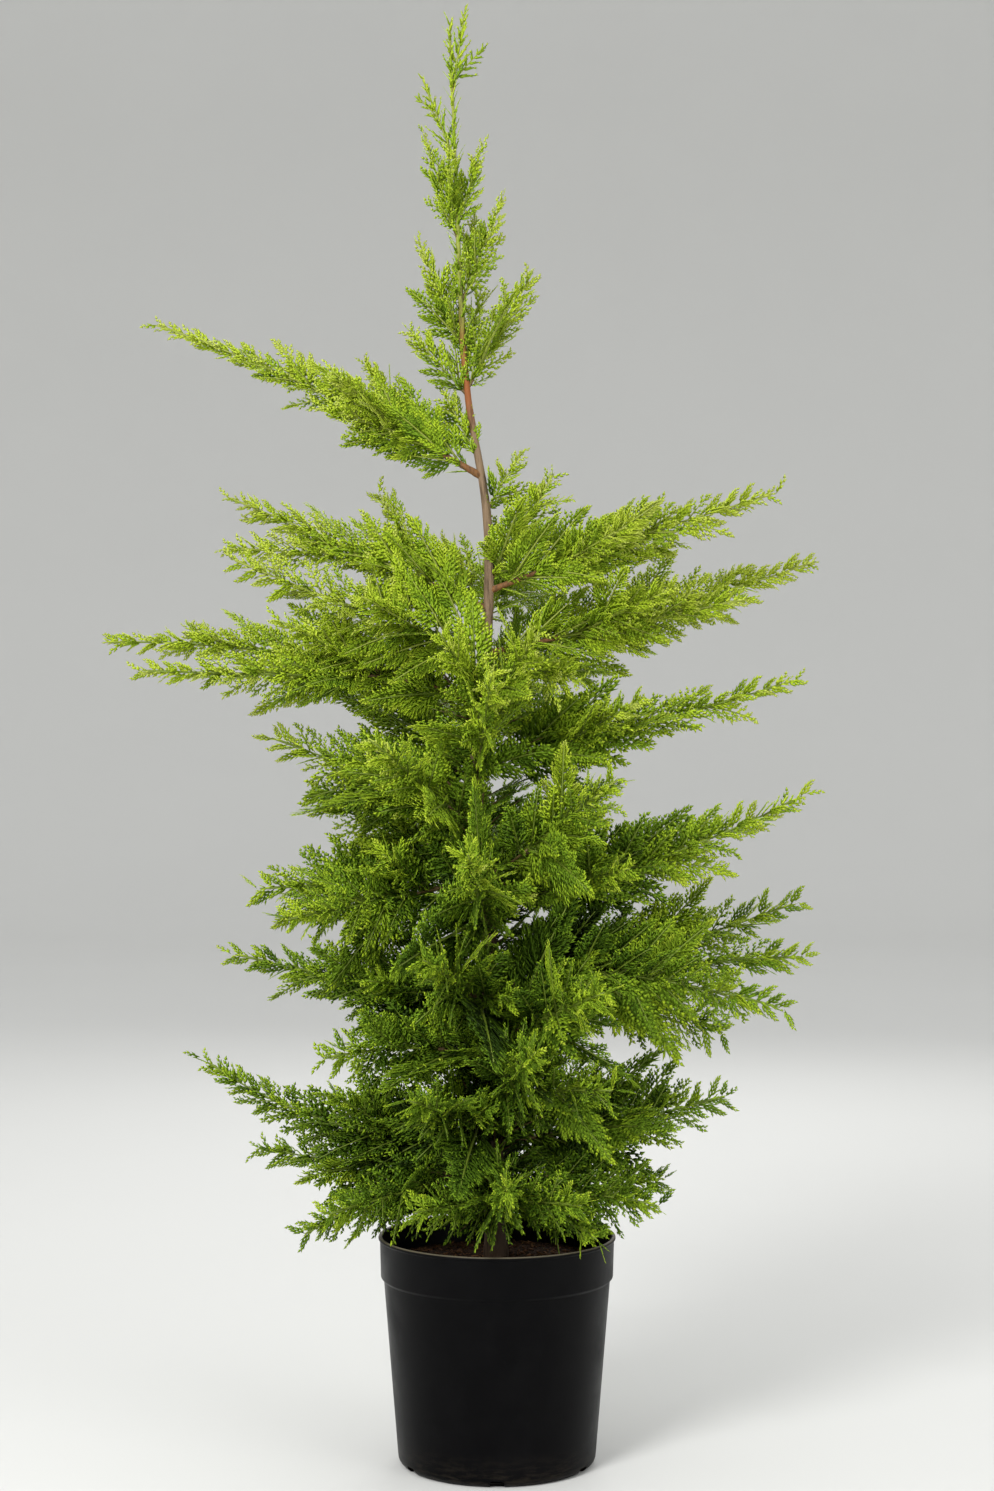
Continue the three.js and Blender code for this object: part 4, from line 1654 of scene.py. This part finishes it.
@dataclass(frozen=True)
class FloorFinish:
    """The pale matt floor of the studio."""

    pale: Colour = colour(214, 214, 211)
    grey: Colour = colour(208, 208, 205)
    grey_share: float = 0.2
    cloud: float = 0.8
    roughness: float = 0.9
    specular: float = 0.1

    def material(self) -> Material:
        """Makes the material.

        Returns:
            The material.
        """
        graph = Graph("studio_floor")
        clouds = graph.noise(self.cloud, 2)
        shade = graph.mix(clouds.ramp(0.3, 0.7) * self.grey_share, self.pale, self.grey)
        return graph.dress(Base_Color=shade, Roughness=self.roughness, Specular_IOR_Level=self.specular)


# ---- Modelling helpers ----


def only(obj: Object) -> None:
    """Selects one object, and makes it the active one.

    Args:
        obj: that is selected.
    """
    bpy.ops.object.select_all(action="DESELECT")
    obj.select_set(True)
    bpy.context.view_layer.objects.active = obj


def started(name: str) -> Object:
    """Names the primitive that an operator has just added.

    Args:
        name: its new name.

    Returns:
        The object.
    """
    obj = bpy.context.view_layer.objects.active
    obj.name = obj.data.name = name
    return obj


def put_in_place(obj: Object) -> None:
    """Applies an object's own place, turn and size to its mesh."""
    only(obj)
    bpy.ops.object.transform_apply(location=True, rotation=True, scale=True)


def started_ring(name: str, sides: int, radius: float, **place: Sequence[float]) -> Object:
    """Adds a filled ring, the start of a turned or extruded piece.

    Args:
        name: of the object.
        sides: how many straight sides it has.
        radius: in metres.
        place: its location in metres and its rotation, where it has them.

    Returns:
        The object, with its place in its mesh.
    """
    bpy.ops.object.select_all(action="DESELECT")
    bpy.ops.mesh.primitive_circle_add(vertices=sides, radius=radius, fill_type="NGON", **place)
    ring = started(name)
    put_in_place(ring)
    return ring


@contextmanager
def editing(everything: bool = True) -> Iterator[None]:
    """Opens the active object in edit mode for some steps.

    Args:
        everything: whether all of its mesh is selected first, or only what was selected before.
    """
    bpy.ops.object.mode_set(mode="EDIT")
    if everything:
        bpy.ops.mesh.select_all(action="SELECT")
    yield
    bpy.ops.object.mode_set(mode="OBJECT")


def extrude_on(step: Sequence[float], size: Sequence[float], middle: Sequence[float]) -> None:
    """Extrudes what is selected by a step, then resizes it.

    Args:
        step: along each axis, in metres.
        size: the factor along each axis.
        middle: the point it is resized about.
    """
    bpy.ops.mesh.extrude_region_move(TRANSFORM_OT_translate={"value": tuple(step)})
    bpy.ops.transform.resize(value=tuple(size), center_override=tuple(middle))


def close_up(obj: Object, within: float = 1e-5) -> None:
    """Merges an object's doubles and turns its faces outwards.

    Args:
        obj: whose mesh it is.
        within: how near two corners are merged, in metres.
    """
    only(obj)
    with editing():
        bpy.ops.mesh.remove_doubles(threshold=within)
        bpy.ops.mesh.normals_make_consistent(inside=False)


def finish_with(obj: Object, kind: str, **settings: object) -> None:
    """Adds a modifier and applies it.

    Args:
        obj: what it works on.
        kind: the modifier's type.
        settings: its properties.
    """
    only(obj)
    modifier = obj.modifiers.new(kind.lower(), kind)
    for key, value in settings.items():
        setattr(modifier, key, value)
    bpy.ops.object.modifier_apply(modifier=modifier.name)


def shade_smooth(obj: Object, angle: float = 40.0) -> None:
    """Shades an object smooth, apart from edges sharper than an angle in degrees."""
    only(obj)
    bpy.ops.object.shade_smooth_by_angle(angle=math.radians(angle))


def roughen(obj: Object, size: float, depth: float, stretch: float = 1.0, group: str = "",
            detail: int = 2) -> None:
    """Raises a cloudy relief on a mesh.

    Args:
        obj: the mesh.
        size: of the clouds, in metres.
        depth: from the lowest to the highest, in metres.
        stretch: how much longer the clouds are upwards.
        group: the vertex group that it is kept to.
        detail: how many finer layers the clouds have.
    """
    texture = bpy.data.textures.new(f"{obj.name}_relief", "CLOUDS")
    texture.noise_scale, texture.noise_depth = size, detail
    bpy.ops.object.empty_add()
    ruler = bpy.context.view_layer.objects.active
    ruler.scale = (1, 1, stretch)
    bpy.context.view_layer.update()
    finish_with(obj, "DISPLACE", texture=texture, texture_coords="OBJECT",
                texture_coords_object=ruler, strength=depth, mid_level=0.5, vertex_group=group)
    bpy.data.objects.remove(ruler)


def joined_mesh(name: str, corners: Array, faces: Array, finishes: Sequence[Material],
                finish: Array | None = None) -> Object:
    """Makes one mesh of many small closed shapes.

    Args:
        name: of the object.
        corners: a row for each corner, in metres.
        faces: a row of three corner numbers for each face.
        finishes: the materials.
        finish: the number of the material of each face.

    Returns:
        The object.
    """
    mesh = bpy.data.meshes.new(name)
    mesh.vertices.add(len(corners))
    mesh.vertices.foreach_set("co", corners.astype(np.float32).ravel())
    mesh.loops.add(faces.size)
    mesh.loops.foreach_set("vertex_index", faces.astype(np.int32).ravel())
    mesh.polygons.add(len(faces))
    mesh.polygons.foreach_set("loop_start", np.arange(0, faces.size, 3, dtype=np.int32))
    for material in finishes:
        mesh.materials.append(material)
    if finish is not None:
        mesh.polygons.foreach_set("material_index", finish.astype(np.int32))
    mesh.update(calc_edges=True)
    obj = bpy.data.objects.new(name, mesh)
    bpy.context.scene.collection.objects.link(obj)
    return obj


def hand_over(obj: Object, slot: str, *nodes: str) -> None:
    """Fixes a finished piece to the plant's body, in place of the solids that it stands for.

    Args:
        obj: the piece.
        slot: not used.
        nodes: the CAD nodes that it replaces.
    """
    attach(obj, BODY)
    if nodes:
        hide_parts(*nodes)
    triangles = sum(len(face.vertices) - 2 for face in obj.data.polygons)
    log.info("%s: %d triangles, in place of %s", obj.name, triangles, ", ".join(nodes) or "nothing")


# ---- Wood ----


@dataclass(frozen=True)
class WoodSection:
    """One ring of a limb: its middle and radius in millimetres."""

    middle: Array
    radius: float


@dataclass
class Wood:
    """The trunk and the bare boughs, as round limbs with the relief of their bark."""

    line: TrunkLine
    sides: int = 14
    trunk_steps: int = 70
    bough_steps: int = 16
    trunk_below: float = 6.0
    bough_on: float = 0.08
    bough_foot: float = 0.0112
    bough_narrows: float = 0.28
    collar: float = 0.22
    collar_run: float = 0.48
    relief_size: float = 0.0045
    relief_depth: float = 0.0011
    relief_stretch: float = 5.0
    smooth_under: float = 60.0

    def __post_init__(self) -> None:
        """Makes the two barks."""
        self.trunk_bark = TRUNK_BARK.material()
        self.bough_bark = BOUGH_BARK.material()

    def build_trunk(self) -> Object:
        """Models the trunk from just under the compost to the tip of the leader.

        Returns:
            The trunk.
        """
        heights = np.linspace(self.line.foot - self.trunk_below, self.line.top, self.trunk_steps)
        sections = [WoodSection(self.line.at(z), self.line.radius(z)) for z in heights]
        trunk = self._limb("trunk_bark", sections, self.trunk_bark)
        hand_over(trunk, "bark", "trunk")
        return trunk

    def build_bough(self, limb: Limb) -> Object:
        """Models one bare bough, with a collar where it leaves the trunk.

        Args:
            limb: whose bough it is.

        Returns:
            The bough.
        """
        stem = limb.stems[0]
        foot = limb.reach * self.bough_foot
        sections = []
        for share in np.linspace(0, limb.bough + self.bough_on, self.bough_steps):
            along = share / limb.bough
            collar = self.collar * max(0.0, 1 - along / self.collar_run) ** 2
            sections.append(WoodSection(stem.at(share), foot * (1 - self.bough_narrows * along + collar)))
        bough = self._limb(f"bark_{limb.name}", sections, self.bough_bark)
        hand_over(bough, "bark", limb.bark)
        return bough

    def _limb(self, name: str, sections: Sequence[WoodSection],
              bark: Material) -> Object:
        """Extrudes a ring along a limb's sections, then gives it the relief of bark.

        Args:
            name: of the object.
            sections: from the limb's foot to its end.
            bark: its material.

        Returns:
            The limb.
        """
        first, second = sections[0], sections[1]
        way = unit(second.middle - first.middle)
        limb = started_ring(name, self.sides, first.radius * MM, location=first.middle * MM,
                            rotation=(0.0, math.acos(way[2]), math.atan2(way[1], way[0])))
        with editing():
            for before, after in zip(sections, sections[1:]):
                extrude_on((after.middle - before.middle) * MM, (after.radius / before.radius,) * 3,
                           after.middle * MM)
        close_up(limb)
        finish_with(limb, "SUBSURF", levels=1, render_levels=1)
        roughen(limb, self.relief_size, self.relief_depth, self.relief_stretch)
        shade_smooth(limb, self.smooth_under)
        limb.data.materials.append(bark)
        return limb


# ---- Twigs and leaves ----


@dataclass
class Crown:
    """All the foliage, in joined pieces that each stand for the masses of some limbs."""

    trunk: TrunkLine
    pot_radius: float
    pot_top: float
    most_triangles: int = 188_000
    tube_sides: int = 4
    pattern_seed: int = 7
    heart_seed: int = 99
    leader_seed: int = 100
    limb_seed: int = 101
    built: int = 0

    def __post_init__(self) -> None:
        """Makes the greens, the rinds and the patterns of the fronds."""
        self.patterns = FrondPatterns(self.pattern_seed)
        self.greens = [finish.material() for finish in LEAF_FINISHES]
        self.rinds = [finish.material() for finish in (TWIG_BROWN, TWIG_GREEN, TWIG_STRAW)]

    def build(self, limbs: Sequence[Limb]) -> None:
        """Clothes the limbs in order, and closes a piece whenever it is full.

        Args:
            limbs: the grown limbs, from the top down.
        """
        foliage = self._empty()
        foliage.clothe_leader(self.leader_seed)
        foliage.clothe_heart(self.heart_seed)
        for index, limb in enumerate(limbs):
            extra = self._empty()
            extra.clothe(limb, self.limb_seed + index)
            if foliage.triangles() + extra.triangles() > self.most_triangles:
                self._close(foliage)
                foliage = self._empty()
            foliage.take_in(extra)
        self._close(foliage)

    def _empty(self) -> Foliage:
        """A gathering of foliage with nothing in it yet."""
        return Foliage(self.patterns, self.trunk, self.pot_radius, self.pot_top)

    def _close(self, foliage: Foliage) -> None:
        """Makes the leaves and the twigs of what has been gathered.

        Args:
            foliage: what has been gathered.
        """
        self.built += 1
        masses = [limb.mass for limb in foliage.limbs]
        corners, tones = foliage.leaf_arrays()
        first = np.arange(len(corners))[:, None, None] * corners.shape[1]
        faces = (first + np.array(SHOOT.faces)).reshape(-1, 3)
        leaves = joined_mesh(f"leaves_{self.built}", corners.reshape(-1, 3), faces, self.greens,
                             np.repeat(tones, len(SHOOT.faces)))
        hand_over(leaves, "foliage", *masses)
        hand_over(self._twigs(foliage.tubes), "foliage", *masses)

    def _twigs(self, tubes: Sequence[Tube]) -> Object:
        """Joins the twigs as closed tubes.

        Args:
            tubes: the twigs.

        Returns:
            The one object that holds them.
        """
        corners, faces, rinds, count = [], [], [], 0
        for tube in tubes:
            tube_corners, tube_faces = self._tube(tube)
            corners.append(tube_corners)
            faces.append(tube_faces + count)
            rinds.append(np.full(len(tube_faces), tube.rind.value))
            count += len(tube_corners)
        return joined_mesh(f"twigs_{self.built}", np.concatenate(corners) * MM, np.concatenate(faces),
                           self.rinds, np.concatenate(rinds))

    def _tube(self, tube: Tube) -> tuple[Array, Array]:
        """Models one closed tube.

        Args:
            tube: a twig.

        Returns:
            Its corners in millimetres, and the three corner numbers of each face.
        """
        sides, rings = self.tube_sides, len(tube.points)
        along = unit(tube.points[-1] - tube.points[0])
        side = squared(heading(0) if abs(along[0]) < 0.9 else heading(90), along)
        up = np.cross(along, side)
        turns = np.arange(sides) * 2 * math.pi / sides
        ring = np.cos(turns)[:, None] * side + np.sin(turns)[:, None] * up
        corners = (tube.points[:, None, :] + ring[None] * np.array(tube.radii)[:, None, None]).reshape(-1, 3)
        faces = []
        for i in range(rings - 1):
            for j in range(sides):
                a, b = i * sides + j, i * sides + (j + 1) % sides
                faces += [(a, b, b + sides), (a, b + sides, a + sides)]
        last = (rings - 1) * sides
        faces += [(0, j + 1, j) for j in range(1, sides - 1)]
        faces += [(last, last + j, last + j + 1) for j in range(1, sides - 1)]
        return corners, np.array(faces)


# ---- Pot and compost ----


@dataclass
class NurseryPot:
    """A round moulded pot with a rolled lip, a plain band, a rounded foot and drainage slots."""

    height: float = 229.0
    rim_radius: float = 120.0
    lip_width: float = 1.6
    lip_height: float = 4.0
    band_height: float = 40.0
    band_step: float = 4.0
    foot_radius: float = 100.0
    foot_round: float = 9.0
    wall: float = 2.4
    floor: float = 3.0
    band_rise: float = 3.0
    band_lean: float = 1.0
    slots: int = 6
    slot_width: float = 14.0
    slot_depth: float = 10.0
    slot_height: float = 7.0
    sides: int = 120
    lip_round: float = 1.0
    foot_steps: int = 6
    edge_round: float = 0.7
    edge_steps: int = 2
    edge_angle: float = 30.0
    slot_round: float = 2.0
    slot_steps: int = 3

    @property
    def body_top(self) -> float:
        """The height where the body ends and the band begins."""
        return self.height - self.lip_height - self.band_height

    @property
    def band_radius(self) -> float:
        """The radius of the band under the lip."""
        return self.rim_radius - self.lip_width

    def body_radius(self, z: float) -> float:
        """The radius of the tapered body.

        Args:
            z: the height.

        Returns:
            The radius.
        """
        top = self.band_radius - self.band_step
        share = (z - self.foot_round) / (self.body_top - self.foot_round)
        return self.foot_radius + (top - self.foot_radius) * share

    def _foot(self, inset: float, floor: float) -> list[tuple[float, float]]:
        """The round between the underside and the wall.

        Args:
            inset: how far inside the pot's outer face it lies.
            floor: the height it starts at.

        Returns:
            The radius and height of each point, from the underside up.
        """
        turns = [math.pi / 2 * i / self.foot_steps for i in range(self.foot_steps + 1)]
        middle = self.foot_radius - self.foot_round - inset
        return [(middle + self.foot_round * math.sin(turn), floor + self.foot_round * (1 - math.cos(turn)))
                for turn in turns]

    def profile(self) -> list[tuple[float, float]]:
        """The pot's section.

        Returns:
            The radius and height of each point, from the middle of its underside round to its floor.
        """
        wall, band, top, lip = self.wall, self.band_radius, self.height, self.lip_round
        shoulder = self.body_top + self.band_rise
        return [
            (0.0, 0.0), *self._foot(0, 0),
            (self.body_radius(self.body_top), self.body_top),
            (band - self.band_lean, shoulder),
            (band, top - self.lip_height), (self.rim_radius, top - self.lip_height + lip),
            (self.rim_radius, top - lip), (self.rim_radius - lip, top),
            (band - wall + lip, top), (band - wall, top - lip),
            (band - wall - self.band_lean, shoulder),
            (self.body_radius(self.body_top) - wall, self.body_top),
            *reversed(self._foot(wall, self.floor)), (0.0, self.floor),
        ]

    def build(self) -> Object:
        """Draws the section, spins it, rounds its edges and cuts the slots.

        Returns:
            The pot.
        """
        pot = self._spun("pot_shell", self.profile())
        finish_with(pot, "BEVEL", width=self.edge_round * MM, segments=self.edge_steps,
                    limit_method="ANGLE", angle_limit=math.radians(self.edge_angle))
        cutter = self._slot_cutter()
        finish_with(pot, "BOOLEAN", operation="DIFFERENCE", solver="EXACT", object=cutter)
        bpy.data.objects.remove(cutter)
        close_up(pot)
        shade_smooth(pot)
        pot.data.materials.append(PotFinish().material())
        hand_over(pot, "pot", "pot")
        return pot

    def _spun(self, name: str, profile: Sequence[tuple[float, float]]) -> Object:
        """Extrudes a vertex along a section and spins it about the upright axis.

        Args:
            name: of the object.
            profile: the radius and height of each point of the section.

        Returns:
            The turned shell.
        """
        bpy.ops.object.select_all(action="DESELECT")
        bpy.ops.mesh.primitive_plane_add(size=MM)
        shell = started(name)
        with editing():
            bpy.ops.mesh.merge(type="CENTER")
            radius, z = profile[0]
            bpy.ops.transform.translate(value=(radius * MM, 0, z * MM))
            for (r0, z0), (r1, z1) in zip(profile, profile[1:]):
                step = ((r1 - r0) * MM, 0, (z1 - z0) * MM)
                bpy.ops.mesh.extrude_vertices_move(TRANSFORM_OT_translate={"value": step})
            bpy.ops.mesh.select_all(action="SELECT")
            bpy.ops.mesh.spin(steps=self.sides, angle=2 * math.pi, center=(0, 0, 0), axis=(0, 0, 1))
        close_up(shell)
        return shell

    def _slot_cutter(self) -> Object:
        """Makes the round-cornered blocks that cut the drainage slots.

        Returns:
            The blocks, as one mesh.
        """
        bpy.ops.object.select_all(action="DESELECT")
        blocks = []
        for i in range(self.slots):
            turn = (i + 0.5) * 2 * math.pi / self.slots
            bpy.ops.mesh.primitive_cube_add(size=1, location=level(turn) * self.foot_radius * MM,
                                            rotation=(0, 0, turn))
            block = started(f"slot_{i}")
            block.scale = (2 * self.slot_depth * MM, self.slot_width * MM, 2 * self.slot_height * MM)
            put_in_place(block)
            finish_with(block, "BEVEL", width=self.slot_round * MM, segments=self.slot_steps)
            blocks.append(block)
        for block in blocks:
            block.select_set(True)
        bpy.context.view_layer.objects.active = blocks[0]
        bpy.ops.object.join()
        return started("slot_cutter")


@dataclass
class Compost:
    """The compost in the pot, with a crumbly crowned top."""

    top: float = 205.0
    edge_drop: float = 4.0
    depth: float = 60.0
    wall_gap: float = 0.4
    edge_inset: float = 1.0
    foot_inset: float = 1.5
    even_edge: float = 3.0
    under_edge: float = 1.0
    rings: int = 13
    sides: int = 96
    cuts: int = 2
    crumb: float = 0.0055
    crumb_depth: float = 0.006
    grain: float = 0.0018
    grain_depth: float = 0.0022
    smooth_under: float = 50.0

    def build(self, pot: NurseryPot) -> Object:
        """Models the compost inside a pot.

        Args:
            pot: what it fills.

        Returns:
            The compost.
        """
        edge = pot.band_radius - pot.band_lean - pot.wall - self.wall_gap - self.edge_inset
        bottom = self.top - self.edge_drop - self.depth
        lower = pot.body_radius(bottom) - pot.wall - self.foot_inset
        rise = self.edge_drop / (self.rings - 1) * MM
        soil = started_ring("compost_top", self.sides, lower * MM, location=(0, 0, bottom * MM))
        with editing():
            extrude_on((0, 0, self.depth * MM), (edge / lower, edge / lower, 1),
                       (0, 0, (bottom + self.depth) * MM))
            for i in range(1, self.rings):
                narrower = (1 - i / self.rings) / (1 - (i - 1) / self.rings)
                extrude_on((0, 0, rise), (narrower, narrower, 1), (0, 0, 0))
        close_up(soil)
        self._subdivide_top(soil, edge)
        roughen(soil, self.crumb, self.crumb_depth, group="crumbs", detail=3)
        roughen(soil, self.grain, self.grain_depth, group="crumbs", detail=1)
        shade_smooth(soil, self.smooth_under)
        soil.data.materials.append(COMPOST.material())
        hand_over(soil, "soil", "soil")
        return soil

    def _subdivide_top(self, soil: Object, edge: float) -> None:
        """Subdivides the upper faces, and marks what may be roughened, which is all but the edge.

        Args:
            soil: the compost.
            edge: the radius of its top.
        """
        under_top = (self.top - self.edge_drop - self.under_edge) * MM
        only(soil)
        with editing():
            bpy.ops.mesh.select_all(action="DESELECT")
        for face in soil.data.polygons:
            face.select = all(soil.data.vertices[v].co.z > under_top for v in face.vertices)
        with editing(everything=False):
            bpy.ops.mesh.subdivide(number_cuts=self.cuts)
        inner = [v.index for v in soil.data.vertices
                 if v.co.z > under_top and math.hypot(v.co.x, v.co.y) < (edge - self.even_edge) * MM]
        soil.vertex_groups.new(name="crumbs").add(inner, 1.0, "REPLACE")


@dataclass
class Chips:
    """The bits of bark and fibre that lie on the compost, as small uneven blocks."""

    count: int = 900
    seed: int = 31
    least: float = 1.6
    most: float = 8.0
    few_long: float = 2.5
    width: tuple[float, float] = (0.25, 0.6)
    thickness: tuple[float, float] = (0.12, 0.3)
    uneven: tuple[float, float] = (0.7, 1.15)
    most_tip: float = 0.5
    most_roll: float = 0.4
    lie: tuple[float, float] = (0.2, 1.8)
    bare_middle: float = 0.02
    wall_clear: float = 9.0

    def build(self, pot: NurseryPot, compost: Compost) -> Object:
        """Strews the bits over the compost.

        Args:
            pot: that they lie in.
            compost: that they lie on.

        Returns:
            The bits, as one mesh.
        """
        draw = np.random.default_rng(self.seed)
        block = np.array([(x, y, z) for z in (-1, 1) for y in (-1, 1) for x in (-1, 1)], float)
        faces = np.array([(0, 2, 1), (1, 2, 3), (4, 5, 6), (5, 7, 6), (0, 1, 4), (1, 5, 4),
                          (2, 6, 3), (3, 6, 7), (0, 4, 2), (2, 4, 6), (1, 3, 5), (3, 7, 5)])
        reach = pot.band_radius - pot.wall - self.wall_clear
        corners = []
        for _ in range(self.count):
            radius = reach * math.sqrt(draw.uniform(self.bare_middle, 1))
            place = level(draw.uniform(0, 2 * math.pi)) * radius
            length = self.least + (self.most - self.least) * draw.uniform(0, 1) ** self.few_long
            size = np.array([length, length * draw.uniform(*self.width),
                             length * draw.uniform(*self.thickness)]) / 2
            uneven = block * size * draw.uniform(*self.uneven, block.shape)
            spin, tip = draw.uniform(0, 2 * math.pi), draw.uniform(-self.most_tip, self.most_tip)
            way = leaned(level(spin), UP, tip)
            side = squared(np.array([-way[1], way[0], draw.uniform(-self.most_roll, self.most_roll)]), way)
            axes = np.array([way, side, np.cross(way, side)])
            place[2] = compost.top - compost.edge_drop * radius / reach + draw.uniform(*self.lie)
            corners.append((place + uneven @ axes) * MM)
        first = np.arange(self.count)[:, None, None] * len(block)
        chips = joined_mesh("compost_chips", np.concatenate(corners), (first + faces).reshape(-1, 3),
                            [CHIP_BARK.material()])
        hand_over(chips, "soil")
        return chips


# ---- Studio ----


@dataclass(frozen=True)
class SoftLight:
    """One large soft light, aimed at the middle of the plant."""

    name: str
    place: tuple[float, float, float]
    size: float
    power: float


@dataclass(frozen=True)
class Studio:
    """A pale floor that curves up into a pale wall all round, soft lights and the camera."""

    target: tuple[float, float, float] = (0.0, 0.0, 0.724)
    distance: float = 2.6
    lens: float = 62.0
    floor_radius: float = 7.0
    wall_bend: float = 4.0
    wall_top: float = 9.0
    bend_steps: int = 16
    sides: int = 96
    sight: float = 200.0
    sky: Colour = colour(240, 241, 243)
    sky_strength: float = 1.12
    lights: tuple[SoftLight, ...] = (
        SoftLight("key_light", (-1.5, -2.7, 2.4), 1.2, 112),
        SoftLight("fill_light", (2.3, -2.2, 1.3), 2.0, 30),
        SoftLight("back_light", (0.4, 2.8, 2.2), 1.8, 26),
    )

    def build(self) -> None:
        """Sets up the floor, sky, lights and camera."""
        self._floor()
        self._sky()
        for light in self.lights:
            self._light(light)
        self._camera()

    def _floor(self) -> None:
        """Extrudes the floor outwards and up into the wall."""
        floor = started_ring("studio_floor", self.sides, self.floor_radius)
        radius, height = self.floor_radius, 0.0
        turns = [math.pi / 2 * (i + 1) / self.bend_steps for i in range(self.bend_steps)]
        ring = [(self.floor_radius + self.wall_bend * math.sin(turn), self.wall_bend * (1 - math.cos(turn)))
                for turn in turns]
        with editing():
            bpy.ops.mesh.delete(type="ONLY_FACE")
            bpy.ops.mesh.select_all(action="SELECT")
            for wider, higher in [*ring, (ring[-1][0], self.wall_top)]:
                extrude_on((0, 0, higher - height), (wider / radius, wider / radius, 1), (0, 0, 0))
                radius, height = wider, higher
            bpy.ops.mesh.select_all(action="DESELECT")
        for edge in floor.data.edges:
            edge.select = all(floor.data.vertices[v].co.z < MM for v in edge.vertices)
        with editing(everything=False):
            bpy.ops.mesh.edge_face_add()
        close_up(floor)
        shade_smooth(floor)
        floor.data.materials.append(FloorFinish().material())

    def _sky(self) -> None:
        """Lights everything evenly from all round."""
        world = bpy.data.worlds.new("studio")
        bpy.context.scene.world = world
        world.use_nodes = True
        background = world.node_tree.nodes["Background"]
        background.inputs["Color"].default_value = self.sky
        background.inputs["Strength"].default_value = self.sky_strength

    def _light(self, light: SoftLight) -> None:
        """Hangs one soft light.

        Args:
            light: its place, size and power.
        """
        data = bpy.data.lights.new(light.name, "AREA")
        data.shape, data.size, data.energy = "DISK", light.size, light.power
        lamp = bpy.data.objects.new(light.name, data)
        bpy.context.scene.collection.objects.link(lamp)
        lamp.location = light.place
        aim = np.array(self.target) - np.array(light.place)
        tilt = math.atan2(math.hypot(aim[0], aim[1]), -aim[2])
        lamp.rotation_euler = (tilt, 0, math.atan2(aim[1], aim[0]) - math.pi / 2)

    def _camera(self) -> None:
        """Sets the camera level with the middle of the plant."""
        data = bpy.data.cameras.new("camera")
        data.lens, data.clip_end = self.lens, self.sight
        camera = bpy.data.objects.new("camera", data)
        bpy.context.scene.collection.objects.link(camera)
        camera.location = (self.target[0], -self.distance, self.target[2])
        camera.rotation_euler = (math.pi / 2, 0, 0)
        bpy.context.scene.camera = camera
        bpy.context.scene.view_settings.view_transform = "Standard"


# ---- The plant ----


def write_size() -> None:
    """Updates the scene's view layer."""
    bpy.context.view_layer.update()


def main() -> None:
    """Builds the plant from the pot up, then the studio."""
    logging.basicConfig(level=logging.INFO, format="%(name)s: %(message)s", force=True)
    trunk = TrunkLine()
    for index, limb in enumerate(LIMBS):
        limb.grow(trunk, seed=index + 1)
    pot = NurseryPot()
    pot.build()
    compost = Compost()
    compost.build(pot)
    Chips().build(pot, compost)
    wood = Wood(trunk)
    wood.build_trunk()
    for limb in LIMBS:
        if limb.bough:
            wood.build_bough(limb)
    Crown(trunk, pot.rim_radius, pot.height).build(LIMBS)
    Studio().build()
    write_size()


if __name__ == "__main__":
    main()
